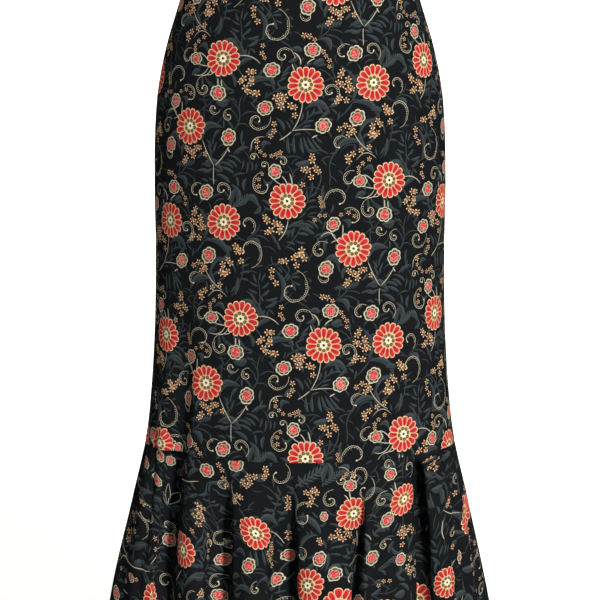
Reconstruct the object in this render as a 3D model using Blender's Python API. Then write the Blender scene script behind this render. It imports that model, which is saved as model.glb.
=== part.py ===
"""Flared maxi skirt, filled out as if worn: a fitted front and back, a waistband and a fluted flounce.

Metres, +Z up, the skirt's front towards -Y. The origin is the middle of the waist, half way up the
waistband, where the wearer holds the skirt. Every piece is a wall of cloth built through level
sections: an ellipse whose sizes come from SECTIONS, pressed in by the folds of the table FOLDS.
Run with: blender --background --python part.py
"""

from math import cos, degrees, pi, radians, sin, sqrt

import bmesh
import bpy

# Cloth and seams
CLOTH_THICKNESS = 0.0012
BAND_THICKNESS = 0.0024
BAND_STANDS_OUT = 0.0006  # the band's face beyond the panels' face
SEAM_GAP = 0.0003

# Heights, from the middle of the waistband
BAND_TOP = 0.0175
BAND_BOTTOM = -0.0175
FLOUNCE_SEAM = -0.5975
FLOUNCE_LENGTH = 0.350  # measured down the cloth

# The skirt's outer face at each level: half its width, and how far it reaches to front and back.
# columns: height, half width, front depth, back depth
SECTIONS = (
    (0.0175, 0.1325, 0.0950, 0.0970),  # waistband top
    (-0.0175, 0.1330, 0.0952, 0.0975),  # waist seam
    (-0.0570, 0.1447, 0.1010, 0.1060),
    (-0.1170, 0.1627, 0.1115, 0.1220),
    (-0.1770, 0.1737, 0.1190, 0.1325),  # high hip
    (-0.2680, 0.1777, 0.1222, 0.1345),  # hip
    (-0.3600, 0.1771, 0.1222, 0.1300),  # thigh
    (-0.4540, 0.1791, 0.1235, 0.1275),
    (-0.5480, 0.1857, 0.1280, 0.1300),  # knee
    (-0.5975, 0.1925, 0.1330, 0.1345),  # flounce seam
    (-0.6750, 0.2103, 0.1485, 0.1500),
    (-0.7720, 0.2316, 0.1690, 0.1715),
    (-0.8600, 0.2480, 0.1850, 0.1890),
    (-0.9475, 0.2625, 0.1990, 0.2040),  # hem
)

# The hanging folds: each is a trough that starts at a level below the flounce seam (above it where
# negative) and deepens down to the hem. Angles run round the waist from the middle of the front,
# positive towards +X, on the section's ellipse.
# columns: angle at the seam, angle at the hem, half width of the trough, start below seam, hem depth
FOLDS = (
    (-174.0, -175.0, 11.5, 0.020, 0.030),
    (-151.0, -152.0, 11.5, 0.030, 0.027),
    (-130.0, -128.0, 12.0, -0.120, 0.033),  # runs up into the back
    (-106.0, -103.0, 11.0, 0.030, 0.022),
    (-76.0, -69.0, 11.0, 0.060, 0.014),
    (-52.0, -37.0, 12.0, -0.190, 0.035),  # runs up into the front
    (-27.0, -18.0, 10.0, 0.005, 0.030),
    (-3.0, -1.5, 9.0, 0.010, 0.025),
    (9.5, 10.0, 5.0, 0.120, 0.011),
    (23.5, 21.5, 10.0, 0.050, 0.029),
    (49.0, 38.0, 11.0, -0.020, 0.036),
    (61.0, 54.0, 7.0, 0.060, 0.014),
    (78.0, 72.0, 9.0, 0.060, 0.013),
    (106.0, 103.0, 11.0, 0.030, 0.024),
    (129.0, 128.0, 11.5, 0.020, 0.029),
    (152.0, 152.0, 11.5, -0.030, 0.032),
)
FOLD_GROWTH = 0.85  # under 1, so a fold is already deep a little below its start
FOLD_SHARPNESS = 1.25  # over 1, so troughs are narrower than crests
STEEPEST_FOLD = 0.9  # how far sideways the cloth may run for each step down it

# How finely the pieces are built
FRONT_COLUMNS, BACK_COLUMNS, BAND_COLUMNS = 48, 40, 56
PANEL_ROWS = 14
COLUMNS_PER_HALF_FOLD = 4
FLOUNCE_ROWS = 9
STEPS_DOWN_THE_CLOTH = 12  # for working out how far slanting cloth drops
OUTLINE_STEP = 0.05  # degrees, for finding which way an outline runs
SHARP_EDGE = 60.0  # degrees between faces, over which an edge is shaded sharp

# Finish of the cloth, in linear RGB
CLOTH_COLOUR = (0.012, 0.014, 0.016, 1.0)
BAND_COLOUR = (0.010, 0.012, 0.013, 1.0)
CLOTH_ROUGHNESS = 0.85


def clear_scene():
    for thing in list(bpy.data.objects):
        bpy.data.objects.remove(thing)


def section_at(height):
    """Half width, front depth and back depth at a height, on a smooth curve through SECTIONS."""
    last = len(SECTIONS) - 2
    row = next((i for i in range(last) if height >= SECTIONS[i + 1][0]), last)
    upper, lower = SECTIONS[row], SECTIONS[row + 1]
    share = (upper[0] - height) / (upper[0] - lower[0])
    sizes = []
    for column in (1, 2, 3):
        rise_upper, rise_lower = slope_at(row, column), slope_at(row + 1, column)
        step = upper[0] - lower[0]
        sizes.append(
            upper[column] * (1 + 2 * share) * (1 - share) ** 2
            + rise_upper * step * share * (1 - share) ** 2
            + lower[column] * share**2 * (3 - 2 * share)
            + rise_lower * step * share**2 * (share - 1)
        )
    return sizes


def slope_at(row, column):
    """How fast a size grows going down, at a row of SECTIONS."""
    above = SECTIONS[max(row - 1, 0)]
    below = SECTIONS[min(row + 1, len(SECTIONS) - 1)]
    return (below[column] - above[column]) / (above[0] - below[0])


def press_of_folds(angle, below_seam):
    """How far the folds press the cloth in, at an angle in degrees and a distance below the seam."""
    press = 0.0
    for at_seam, at_hem, half_width, start, depth in FOLDS:
        if below_seam <= start:
            continue
        centre = at_seam + (at_hem - at_seam) * max(below_seam, 0.0) / FLOUNCE_LENGTH
        away = abs((angle - centre + 180.0) % 360.0 - 180.0) / half_width
        if away < 1.0:
            grown = ((below_seam - start) / (FLOUNCE_LENGTH - start)) ** FOLD_GROWTH
            press += depth * grown * (0.5 + 0.5 * cos(pi * away)) ** FOLD_SHARPNESS
    return press


def ring_point(angle, height):
    """A point of the folded outline at that height: the ellipse's, pressed in along its normal."""
    half_width, front, back = section_at(height)
    depth = front if abs((angle + 180.0) % 360.0 - 180.0) < 90.0 else back
    turn = radians(angle)
    nx, ny = sin(turn) / half_width, -cos(turn) / depth
    reach = press_of_folds(angle, FLOUNCE_SEAM - height) / sqrt(nx * nx + ny * ny)
    return half_width * sin(turn) - nx * reach, -depth * cos(turn) - ny * reach


def wall_points(angle, height, thickness, proud=0.0):
    """(outer point, inner point) of the wall: the folded outline and its parallel inside."""
    x, y = ring_point(angle, height)
    before = ring_point(angle - OUTLINE_STEP, height)
    after = ring_point(angle + OUTLINE_STEP, height)
    run_x, run_y = after[0] - before[0], after[1] - before[1]
    length = sqrt(run_x * run_x + run_y * run_y)
    out_x, out_y = run_y / length, -run_x / length
    outer = (x + out_x * proud, y + out_y * proud)
    inner = (x + out_x * (proud - thickness), y + out_y * (proud - thickness))
    return outer, inner


def cloth_height(angle, height):
    """The level that flounce cloth cut to reach height drops to: less low where it slants out."""
    drop = (FLOUNCE_SEAM - height) / STEPS_DOWN_THE_CLOTH
    if drop <= 0:
        return height
    level = FLOUNCE_SEAM
    last = ring_point(angle, FLOUNCE_SEAM)
    for step in range(1, STEPS_DOWN_THE_CLOTH + 1):
        here = ring_point(angle, FLOUNCE_SEAM - drop * step)
        sideways = sqrt((here[0] - last[0]) ** 2 + (here[1] - last[1]) ** 2)
        sideways = min(sideways, STEEPEST_FOLD * drop)
        level -= sqrt(drop * drop - sideways * sideways)
        last = here
    return level


def wall(name, columns_at, heights, thickness, colour, proud=0.0, closed=False):
    """One piece of cloth as a closed solid, in a material of its own. columns_at(height) gives the
    angles of its points at that height; closed joins the last to the first, as in a band."""
    mesh = bmesh.new()
    outer, inner = [], []
    for height in heights:
        outer_row, inner_row = [], []
        for angle in columns_at(height):
            level = cloth_height(angle, height)
            out_point, in_point = wall_points(angle, height, thickness, proud)
            outer_row.append(mesh.verts.new((*out_point, level)))
            inner_row.append(mesh.verts.new((*in_point, level)))
        outer.append(outer_row)
        inner.append(inner_row)
    count = len(outer[0])
    for column in range(count if closed else count - 1):
        after = (column + 1) % count
        for row in range(len(heights) - 1):
            for side in (outer, inner):
                corners = (side[row][column], side[row + 1][column])
                corners += (side[row + 1][after], side[row][after])
                mesh.faces.new(corners if side is outer else corners[::-1])
        top, bottom = 0, len(heights) - 1
        mesh.faces.new((outer[top][after], inner[top][after], inner[top][column], outer[top][column]))
        mesh.faces.new(
            (outer[bottom][column], inner[bottom][column], inner[bottom][after], outer[bottom][after])
        )
    if not closed:
        for row in range(len(heights) - 1):
            for column in (0, count - 1):
                rim = (outer[row][column], inner[row][column])
                rim += (inner[row + 1][column], outer[row + 1][column])
                mesh.faces.new(rim if column == 0 else rim[::-1])
    bmesh.ops.recalc_face_normals(mesh, faces=mesh.faces)
    data = bpy.data.meshes.new(name)
    mesh.to_mesh(data)
    mesh.free()
    data.shade_smooth()
    data.set_sharp_from_angle(angle=radians(SHARP_EDGE))
    data.materials.append(cloth_material(f"{name}_cloth", colour))
    piece = bpy.data.objects.new(name, data)
    bpy.context.scene.collection.objects.link(piece)
    return piece


def spaced(first, last, steps):
    return [first + (last - first) * i / steps for i in range(steps + 1)]


def half_turn(middle, height):
    """The first and last angle of a front (middle 0) or a back (middle 180), a seam gap short."""
    _, front, back = section_at(height)
    depth = front if middle == 0 else back
    short = degrees(SEAM_GAP / 2 / depth)
    return middle - 90.0 + short, middle + 90.0 - short


def panel_columns(middle, steps):
    """Evenly spaced angles from side seam to side seam."""
    return lambda height: spaced(*half_turn(middle, height), steps)


def flounce_columns(middle):
    """Angles from side seam to side seam that follow every fold down: its trough, its two crests,
    and COLUMNS_PER_HALF_FOLD steps between them."""

    def columns_at(height):
        share = (FLOUNCE_SEAM - height) / FLOUNCE_LENGTH
        first, last = half_turn(middle, height)
        troughs = sorted(
            (at_seam + (at_hem - at_seam) * share - middle + 180.0) % 360.0 - 180.0 + middle
            for at_seam, at_hem, *_ in FOLDS
        )
        troughs = [angle for angle in troughs if first < angle < last]
        marks = [first, troughs[0]]
        for trough, following in zip(troughs, troughs[1:]):
            marks += [(trough + following) / 2, following]
        marks.append(last)
        angles = [marks[0]]
        for start, end in zip(marks, marks[1:]):
            angles += spaced(start, end, COLUMNS_PER_HALF_FOLD)[1:]
        return angles

    return columns_at


def cloth_material(name, colour):
    material = bpy.data.materials.new(name)
    material.use_nodes = True
    shader = material.node_tree.nodes["Principled BSDF"]
    shader.inputs["Base Color"].default_value = colour
    shader.inputs["Roughness"].default_value = CLOTH_ROUGHNESS
    shader.inputs["Metallic"].default_value = 0.0
    return material


def main():
    clear_scene()
    panel_heights = spaced(BAND_BOTTOM - SEAM_GAP / 2, FLOUNCE_SEAM + SEAM_GAP / 2, PANEL_ROWS)
    hem = FLOUNCE_SEAM - FLOUNCE_LENGTH
    flounce_heights = spaced(FLOUNCE_SEAM - SEAM_GAP / 2, hem, FLOUNCE_ROWS)

    for side, middle, steps in (("front", 0.0, FRONT_COLUMNS), ("back", 180.0, BACK_COLUMNS)):
        panel, flounce = panel_columns(middle, steps), flounce_columns(middle)
        wall(side, panel, panel_heights, CLOTH_THICKNESS, CLOTH_COLOUR)
        wall(f"flounce_{side}", flounce, flounce_heights, CLOTH_THICKNESS, CLOTH_COLOUR)

    band_angles = spaced(0.0, 360.0, BAND_COLUMNS)[:-1]
    wall(
        "waistband",
        lambda height: band_angles,
        [BAND_TOP, BAND_BOTTOM + SEAM_GAP / 2],
        BAND_THICKNESS,
        BAND_COLOUR,
        proud=BAND_STANDS_OUT,
        closed=True,
    )


main()
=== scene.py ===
import math
from functools import partial

import bpy
import numpy as np
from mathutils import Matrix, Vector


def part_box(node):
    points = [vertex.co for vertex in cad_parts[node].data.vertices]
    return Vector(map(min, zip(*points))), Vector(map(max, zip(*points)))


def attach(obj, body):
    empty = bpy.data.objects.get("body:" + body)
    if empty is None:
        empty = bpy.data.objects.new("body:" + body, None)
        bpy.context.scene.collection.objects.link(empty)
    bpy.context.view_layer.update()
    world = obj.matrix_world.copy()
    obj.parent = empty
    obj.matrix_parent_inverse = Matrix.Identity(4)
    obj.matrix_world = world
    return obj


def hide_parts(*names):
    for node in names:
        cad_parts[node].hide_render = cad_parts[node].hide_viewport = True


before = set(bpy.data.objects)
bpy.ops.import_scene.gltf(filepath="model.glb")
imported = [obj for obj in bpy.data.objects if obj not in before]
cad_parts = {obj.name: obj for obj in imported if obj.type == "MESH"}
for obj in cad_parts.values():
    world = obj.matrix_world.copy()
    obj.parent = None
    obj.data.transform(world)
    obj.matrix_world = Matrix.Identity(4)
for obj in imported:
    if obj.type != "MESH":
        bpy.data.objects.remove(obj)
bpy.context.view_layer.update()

# A fitted maxi skirt in printed crepe with a fluted flounce, filled out as if worn.
# Metres for the form, with +Z up and the front towards -Y; the print is charted in millimetres.

mm = 0.001
turn = 2 * math.pi

# Small tools


def linear(hexColour):
    # sRGB hex to linear: c / 12.92 below 0.04045, else ((c + 0.055) / 1.055) ** 2.4
    parts = [int(hexColour[i : i + 2], 16) / 255 for i in (1, 3, 5)]
    return [c / 12.92 if c < 0.04045 else ((c + 0.055) / 1.055) ** 2.4 for c in parts] + [1.0]


def addNode(tree, kind, *inputs, out=0, **settings):
    # "Math:ADD" is the Math node set to ADD; a None leaves an input as it is
    kind, _, operation = kind.partition(":")
    node = tree.nodes.new(kind if kind.startswith("Node") else "ShaderNode" + kind)
    if operation:
        node.operation = operation
    for name, value in settings.items():
        setattr(node, name, value)
    for socket, value in zip(node.inputs, inputs):
        if isinstance(value, bpy.types.NodeSocket):
            tree.links.new(value, socket)
        elif value is not None:
            socket.default_value = value
    return node.outputs[out] if node.outputs else None


def meshPiece(name, points, quads, material, slotName, sharpAngle=60.0):
    # points (n, 3) and quads (m, 4) straight into a mesh, shaded smooth but for its sharp rims
    mesh = bpy.data.meshes.new(name)
    mesh.vertices.add(len(points))
    mesh.vertices.foreach_set("co", np.asarray(points, np.float32).ravel())
    mesh.loops.add(quads.size)
    mesh.loops.foreach_set("vertex_index", np.asarray(quads, np.int32).ravel())
    mesh.polygons.add(len(quads))
    mesh.polygons.foreach_set("loop_start", np.arange(0, quads.size, 4, dtype=np.int32))
    mesh.update(calc_edges=True)
    mesh.validate()
    mesh.shade_smooth()
    mesh.set_sharp_from_angle(angle=math.radians(sharpAngle))
    mesh.materials.append(material)
    piece = bpy.data.objects.new(name, mesh)
    bpy.context.scene.collection.objects.link(piece)
    if slotName:
        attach(piece, "root")
    return piece


def gridQuads(rows, columns, aroundColumns=False, aroundRows=False):
    # the quads of a rows x columns grid whose points are numbered row by row
    r = np.arange(rows if aroundRows else rows - 1)[:, None]
    c = np.arange(columns if aroundColumns else columns - 1)[None, :]
    below, beside = (r + 1) % rows, (c + 1) % columns
    corners = (r * columns + c, below * columns + c, below * columns + beside, r * columns + beside)
    return np.stack(np.broadcast_arrays(*corners), -1).reshape(-1, 4)


def wallQuads(rows, columns, closed=False):
    # a wall between two grids: its outer face, its inner face turned round, a rim along each open edge
    count = rows * columns
    index = np.arange(count).reshape(rows, columns)
    if closed:
        index = np.concatenate([index, index[:, :1]], axis=1)
    edges = [(index[0], True), (index[-1], False)]
    if not closed:
        edges += [(index[:, 0], False), (index[:, -1], True)]
    face = gridQuads(rows, columns, aroundColumns=closed)
    parts = [face, face[:, ::-1] + count]
    for line, flip in edges:
        strip = np.stack([line[:-1], line[:-1] + count, line[1:] + count, line[1:]], -1)
        parts.append(strip[:, ::-1] if flip else strip)
    return parts


def addCornerVectors(piece, name, values):
    # one vector for each corner of each face, in the order of its quads
    made = piece.data.attributes.new(name, "FLOAT_VECTOR", "CORNER")
    made.data.foreach_set("vector", np.asarray(values, np.float32).ravel())


# Camera

# metres, degrees and, for the lens, millimetres
camera = {"distance": 2.3, "lookDown": 8.0, "aimHeight": -0.4225, "lens": 111.95}


def makeCamera():
    # it looks down by lookDown at a point straight below the waist, aimHeight up
    tilt = math.radians(camera["lookDown"])
    data = bpy.data.cameras.new("camera")
    data.lens = camera["lens"]
    holder = bpy.data.objects.new("camera", data)
    holder.location = (
        0.0,
        -camera["distance"] * math.cos(tilt),
        camera["aimHeight"] + camera["distance"] * math.sin(tilt),
    )
    holder.rotation_euler = (math.pi / 2 - tilt, 0.0, 0.0)
    bpy.context.scene.collection.objects.link(holder)
    bpy.context.scene.camera = holder


makeCamera()
print("camera set")

# Studio: a white floor that sweeps up far away and glows behind the skirt, a painted light over the skirt's
# shadow; soft sky light and one soft sun

studio = {
    "floorHeight": -1.03,
    "innerRadius": 0.5,
    "flatRadius": 7.0,
    "rimRadius": 16.0,
    "rimHeight": 3.5,
    "flatRings": 8,
    "sweepRings": 24,
    "spokes": 64,
    "paper": "#e6e5e3",
    "paperRoughness": 0.9,
    "paperGlow": 1.15,  # painted light: the paper glows only behind the skirt, where it washes out the skirt's cast shadow
    "glowDepth": (-0.2, 0.75),  # metres behind the skirt's middle
    "glowFan": (-0.15, 0.75),  # cosine of the direction from straight behind
    "sky": "#ffffff",
    "skyStrength": 0.06,
    # degrees: azimuth 0 is from the front and 90 from the right
    "sun": {"azimuth": 27.0, "elevation": 29.0, "softness": 8.0, "strength": 5.4},
}


def makeFloor():
    # radius and angle on a grid; height = rimHeight * share ** 2 beyond the flat part
    flat, sweep = studio["flatRadius"], studio["rimRadius"] - studio["flatRadius"]
    share = np.linspace(0, 1, studio["sweepRings"])
    radius = np.concatenate([[0.0], np.linspace(studio["innerRadius"], flat, studio["flatRings"]),
                             flat + sweep * share[1:]])
    lift = np.clip((radius - flat) / sweep, 0, 1)
    angle = np.linspace(0, turn, studio["spokes"] + 1)[:-1]
    rise, across = np.meshgrid(studio["floorHeight"] + studio["rimHeight"] * lift**2, angle, indexing="ij")
    reach = np.broadcast_to(radius[:, None], across.shape)
    points = np.stack([reach * np.cos(across), reach * np.sin(across), rise], -1).reshape(-1, 3)
    material = bpy.data.materials.new("mattePaper")
    material.use_nodes = True
    shader = material.node_tree.nodes["Principled BSDF"]
    shader.inputs["Base Color"].default_value = linear(studio["paper"])
    shader.inputs["Roughness"].default_value = studio["paperRoughness"]
    shader.inputs["Emission Color"].default_value = linear(studio["paper"])
    add = partial(addNode, material.node_tree)
    # painted light: emission on the paper behind the skirt, so that the skirt's cast shadow there stays white
    place = add("VectorMath:MULTIPLY", add("TexCoord", out=3), (1.0, 1.0, 0.0))
    towards = add("VectorMath:NORMALIZE", place)
    glow = studio["paperGlow"]
    for vector, ends in ((place, studio["glowDepth"]), (towards, studio["glowFan"])):
        share = add("MapRange", add("SeparateXYZ", vector, out=1), *ends, 0.0, 1.0,
                    interpolation_type="SMOOTHSTEP")
        glow = add("Math:MULTIPLY", share, glow)
    material.node_tree.links.new(glow, shader.inputs["Emission Strength"])
    floor = meshPiece("floor", points, gridQuads(*across.shape, aroundColumns=True), material, None)


def makeLights():
    # an even pale sky, and a sun from the front right
    world = bpy.data.worlds.new("studioSky")
    bpy.context.scene.world = world
    world.use_nodes = True
    background = world.node_tree.nodes["Background"]
    background.inputs["Color"].default_value = linear(studio["sky"])
    background.inputs["Strength"].default_value = studio["skyStrength"]
    sun = studio["sun"]
    data = bpy.data.lights.new("keySun", "SUN")
    data.energy = sun["strength"]
    data.angle = math.radians(sun["softness"])
    holder = bpy.data.objects.new("keySun", data)
    holder.rotation_euler = (math.radians(90 - sun["elevation"]), 0.0, math.radians(sun["azimuth"]))
    bpy.context.scene.collection.objects.link(holder)


makeFloor()
makeLights()
bpy.context.scene.view_settings.view_transform = "Standard"
print("studio set")

# Form of the worn skirt

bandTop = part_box("waistband")[1].z
waistSeam = (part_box("waistband")[0].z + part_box("front")[1].z) / 2
flounceSeam = (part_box("front")[0].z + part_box("flounce_front")[1].z) / 2

form = {
    "clothThickness": 1.2 * mm,
    "seamGap": 0.3 * mm,
    "flounceLength": 0.350,  # measured down the cloth
    "foldGrowth": 0.85,
    "foldSharpness": 1.25,
    "steepestFold": 0.9,
    "bellNarrowing": 1.5,  # a bell is at a tenth of its height where away is 1
    "leanReach": 0.24,  # metres below the seam over which a gather's lean dies out
    "dropSteps": 40,
    "stitchDip": 0.8 * mm,  # how far the cloth rolls in at a seam
    "stitchReach": 1.7,  # millimetres from the seam
    "faceSize": 3.4 * mm,
    "edgeSteps": (0.0, 0.7, 1.7, 3.0),  # millimetres from a seam: finer faces where the cloth rolls in
    "girthSteps": 1440,
    "panelGirthAt": (0.5,),  # shares of a panel's height at which its girth is measured out
    "flounceGirthAt": (0.3, 0.6),
    # columns: height, half width, front depth, back depth
    "sections": [
        (0.0175, 0.1325, 0.0950, 0.0970),
        (-0.0175, 0.1330, 0.0952, 0.0975),
        (-0.0570, 0.1447, 0.1010, 0.1060),
        (-0.1170, 0.1627, 0.1115, 0.1220),
        (-0.1770, 0.1737, 0.1190, 0.1325),
        (-0.2680, 0.1777, 0.1222, 0.1345),
        (-0.3600, 0.1771, 0.1222, 0.1300),
        (-0.4540, 0.1791, 0.1235, 0.1275),
        (-0.5480, 0.1857, 0.1280, 0.1300),
        (-0.5975, 0.1925, 0.1330, 0.1345),
        (-0.6750, 0.2103, 0.1485, 0.1500),
        (-0.7720, 0.2316, 0.1690, 0.1715),
        (-0.8600, 0.2480, 0.1850, 0.1890),
        (-0.9475, 0.2625, 0.1990, 0.2040),
    ],
    # columns: angle at the seam, angle at the hem, half width, start below seam, hem depth
    "folds": [
        (-174.0, -175.0, 11.5, 0.020, 0.030),
        (-151.0, -152.0, 11.5, 0.030, 0.027),
        (-130.0, -128.0, 12.0, -0.120, 0.033),
        (-106.0, -103.0, 11.0, 0.030, 0.022),
        (-76.0, -69.0, 11.0, 0.060, 0.014),
        (-52.0, -37.0, 12.0, -0.190, 0.035),
        (-27.0, -18.0, 10.0, 0.005, 0.030),
        (-3.0, -1.5, 9.0, 0.010, 0.025),
        (9.5, 10.0, 5.0, 0.120, 0.011),
        (23.5, 21.5, 10.0, 0.050, 0.029),
        (49.0, 38.0, 11.0, -0.020, 0.036),
        (61.0, 54.0, 7.0, 0.060, 0.014),
        (78.0, 72.0, 9.0, 0.060, 0.013),
        (106.0, 103.0, 11.0, 0.030, 0.024),
        (129.0, 128.0, 11.5, 0.020, 0.029),
        (152.0, 152.0, 11.5, -0.030, 0.032),
    ],
    # small creases over the folds
    # columns: angle and height where it starts, angle and height where it ends, half width, depth in mm
    "creases": [
        (-79.0, -0.520, -66.0, -0.612, 3.2, 1.8),
        (-70.0, -0.545, -62.0, -0.606, 2.6, -1.4),
        (-62.0, -0.535, -56.0, -0.618, 2.8, 1.5),
        (-84.0, -0.560, -75.0, -0.640, 3.0, -1.3),
        (-44.0, -0.480, -41.0, -0.640, 4.5, -1.6),
        (58.0, -0.500, 64.0, -0.640, 4.5, 1.5),
        (70.0, -0.470, 76.0, -0.610, 4.0, -1.2),
        (82.0, -0.380, 86.0, -0.560, 4.0, 1.2),
        (-86.0, -0.250, -80.0, -0.420, 5.0, 1.2),
        (80.0, -0.090, 66.0, -0.230, 6.0, 1.0),
        (-80.0, -0.100, -64.0, -0.260, 6.0, 1.1),
        (16.0, -0.430, 12.0, -0.600, 7.0, 0.9),
        (-14.0, -0.470, -16.0, -0.620, 6.0, -0.9),
        (34.0, -0.360, 40.0, -0.585, 6.0, 1.1),
        (-34.0, -0.060, -27.0, -0.180, 6.0, 0.7),
        (105.0, -0.110, 122.0, -0.270, 7.0, 1.4),
        (-104.0, -0.120, -124.0, -0.290, 7.0, 1.3),
        (140.0, -0.300, 146.0, -0.520, 8.0, 2.0),
        (-143.0, -0.330, -150.0, -0.560, 8.0, 1.8),
        (176.0, -0.330, 178.0, -0.540, 9.0, 1.6),
        (112.0, -0.450, 108.0, -0.600, 6.0, 1.4),
        (-112.0, -0.470, -107.0, -0.610, 6.0, -1.2),
        (164.0, -0.560, 166.0, -0.680, 4.0, -1.2),
        (-163.0, -0.570, -161.0, -0.690, 4.0, 1.2),
        (3.5, -0.590, 3.0, -0.680, 3.2, -1.2),
        (-12.0, -0.600, -11.0, -0.690, 3.0, 1.0),
        (15.5, -0.600, 16.0, -0.700, 3.4, 1.2),
        (34.0, -0.600, 33.0, -0.720, 4.0, -1.5),
        (-36.0, -0.600, -31.0, -0.730, 4.0, 1.3),
        (-60.0, -0.640, -54.0, -0.800, 5.0, 1.6),
        (70.0, -0.640, 66.0, -0.820, 4.5, -1.6),
        (86.0, -0.660, 84.0, -0.860, 5.0, 1.4),
        (-88.0, -0.680, -84.0, -0.880, 5.0, -1.4),
        (118.0, -0.640, 116.0, -0.840, 4.5, 1.5),
        (-118.0, -0.640, -116.0, -0.840, 4.5, 1.4),
        (140.0, -0.660, 140.0, -0.860, 4.5, -1.4),
        (-140.0, -0.660, -140.0, -0.860, 4.5, -1.5),
        (-75.0, -0.548, -64.0, -0.590, 1.9, 3.4),
        (-67.0, -0.540, -57.0, -0.594, 1.8, 3.6),
        (-60.0, -0.548, -51.0, -0.600, 1.7, 3.2),
        (-72.0, -0.572, -60.0, -0.620, 1.8, 3.0),
        (-64.0, -0.560, -58.0, -0.606, 1.5, -2.4),
        (-66.0, -0.605, -56.0, -0.930, 10.0, 10.0),
        (-46.0, -0.615, -39.0, -0.930, 5.5, -5.0),
    ],
    # gathers that the flounce hangs from: steep on the side towards the middle, easy on the other
    # columns: angle at the seam, angle at the hem, half widths to the left and to the right,
    # depth in mm, distance of the deepest place below the seam, sideways lean as a share of the depth,
    # and for those that start softly, the distance over which they ease in
    "gathers": [
        (-54.0, -42.0, 13.0, 2.3, 28.0, 0.120, 0.0),
        (-26.6, -21.5, 12.5, 2.2, 28.0, 0.150, 0.0, 0.095),
        (-3.0, -2.6, 12.0, 2.1, 27.0, 0.150, 0.0, 0.120),
        (9.5, 9.5, 2.4, 2.4, 4.0, 0.100, 0.0, 0.080),
        (21.0, 13.0, 8.5, 2.5, 26.0, 0.170, 0.9, 0.130),
        (46.4, 37.4, 2.0, 4.8, 24.0, 0.115, 1.2, 0.020),
        (-68.0, -60.0, 3.0, 3.0, 5.0, 0.060, 0.0),
        (-40.0, -36.0, 2.6, 2.6, 1.6, 0.025, 0.0),
        (-14.5, -13.0, 2.4, 2.4, 1.5, 0.022, 0.0),
        (34.0, 30.0, 2.4, 2.4, 1.5, 0.024, 0.0),
        (66.0, 60.0, 2.6, 3.4, 7.0, 0.090, 0.0),
        (-79.0, -76.0, 4.0, 4.0, 3.0, 0.040, 0.0),
        (-88.0, -88.0, 2.6, 2.6, 1.4, 0.025, 0.0),
        (79.0, 76.0, 4.0, 4.0, 3.0, 0.038, 0.0),
        (90.0, 90.0, 2.8, 2.8, 1.6, 0.026, 0.0),
        (106.0, 103.0, 3.0, 4.4, 9.0, 0.090, 0.0),
        (118.0, 116.0, 2.6, 2.6, 1.5, 0.024, 0.0),
        (129.0, 128.0, 2.6, 4.6, 14.0, 0.100, 0.0),
        (141.0, 141.0, 2.8, 2.8, 1.8, 0.028, 0.0),
        (152.0, 152.0, 2.4, 4.2, 15.0, 0.110, 0.0),
        (164.0, 163.0, 2.8, 2.8, 1.4, 0.022, 0.0),
        (177.0, 176.0, 3.2, 2.6, 8.0, 0.090, 0.0),
        (-173.0, -175.0, 4.0, 2.4, 12.0, 0.100, 0.0),
        (-162.0, -162.0, 2.6, 2.6, 1.5, 0.025, 0.0),
        (-151.0, -152.0, 4.2, 2.4, 16.0, 0.110, 0.0),
        (-140.0, -140.0, 2.6, 2.6, 1.6, 0.024, 0.0),
        (-130.0, -128.0, 4.6, 2.6, 15.0, 0.100, 0.0),
        (-117.0, -116.0, 2.6, 2.6, 1.4, 0.026, 0.0),
        (-105.0, -103.0, 4.2, 3.0, 8.0, 0.080, 0.0),
    ],
}


def sectionAt(height):
    # half width, front depth and back depth: cubic through the sections, with slopes between neighbours
    drop = -np.array([row[0] for row in form["sections"]])
    sizes = np.array([row[1:] for row in form["sections"]])
    slope = np.empty_like(sizes)
    slope[1:-1] = (sizes[2:] - sizes[:-2]) / (drop[2:] - drop[:-2])[:, None]
    slope[0] = (sizes[1] - sizes[0]) / (drop[1] - drop[0])
    slope[-1] = (sizes[-1] - sizes[-2]) / (drop[-1] - drop[-2])
    here = -np.asarray(height, float)
    row = np.clip(np.searchsorted(drop, here, side="right") - 1, 0, len(drop) - 2)
    step = drop[row + 1] - drop[row]
    t = (here - drop[row]) / step
    found = []
    for size, rise in zip(sizes.T, slope.T):
        found.append(
            size[row] * (1 + 2 * t) * (1 - t) ** 2
            + rise[row] * step * t * (1 - t) ** 2
            + size[row + 1] * t**2 * (3 - 2 * t)
            + rise[row + 1] * step * t**2 * (t - 1)
        )
    return found


def apart(angle, centre):
    # degrees between two directions, the short way round
    return np.abs((angle - centre + 180) % 360 - 180)


def bell(away):
    # exp(-(bellNarrowing * away) ** 2)
    return np.exp(-((form["bellNarrowing"] * away) ** 2))


def foldPress(angle, below):
    # each trough: depth * grown ** foldGrowth * (half a cosine across) ** foldSharpness
    press = np.zeros(np.broadcast(angle, below).shape)
    for atSeam, atHem, halfWidth, start, depth in form["folds"]:
        centre = atSeam + (atHem - atSeam) * np.maximum(below, 0) / form["flounceLength"]
        away = np.minimum(apart(angle, centre) / halfWidth, 1)
        grown = np.clip((below - start) / (form["flounceLength"] - start), 0, None) ** form["foldGrowth"]
        press += depth * grown * (0.5 + 0.5 * np.cos(math.pi * away)) ** form["foldSharpness"]
    return press


def creasePress(angle, height):
    # each crease: depth * sin(pi * along) across a bell, along the line between its two ends
    press = np.zeros(np.broadcast(angle, height).shape)
    for angleFrom, heightFrom, angleTo, heightTo, halfWidth, depth in form["creases"]:
        along = np.clip((heightFrom - height) / (heightFrom - heightTo), 0, 1)
        away = apart(angle, angleFrom + (angleTo - angleFrom) * along) / halfWidth
        press += depth * mm * np.sin(math.pi * along) * bell(away)
    return press + gatherPress(angle, flounceSeam - height)


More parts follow.
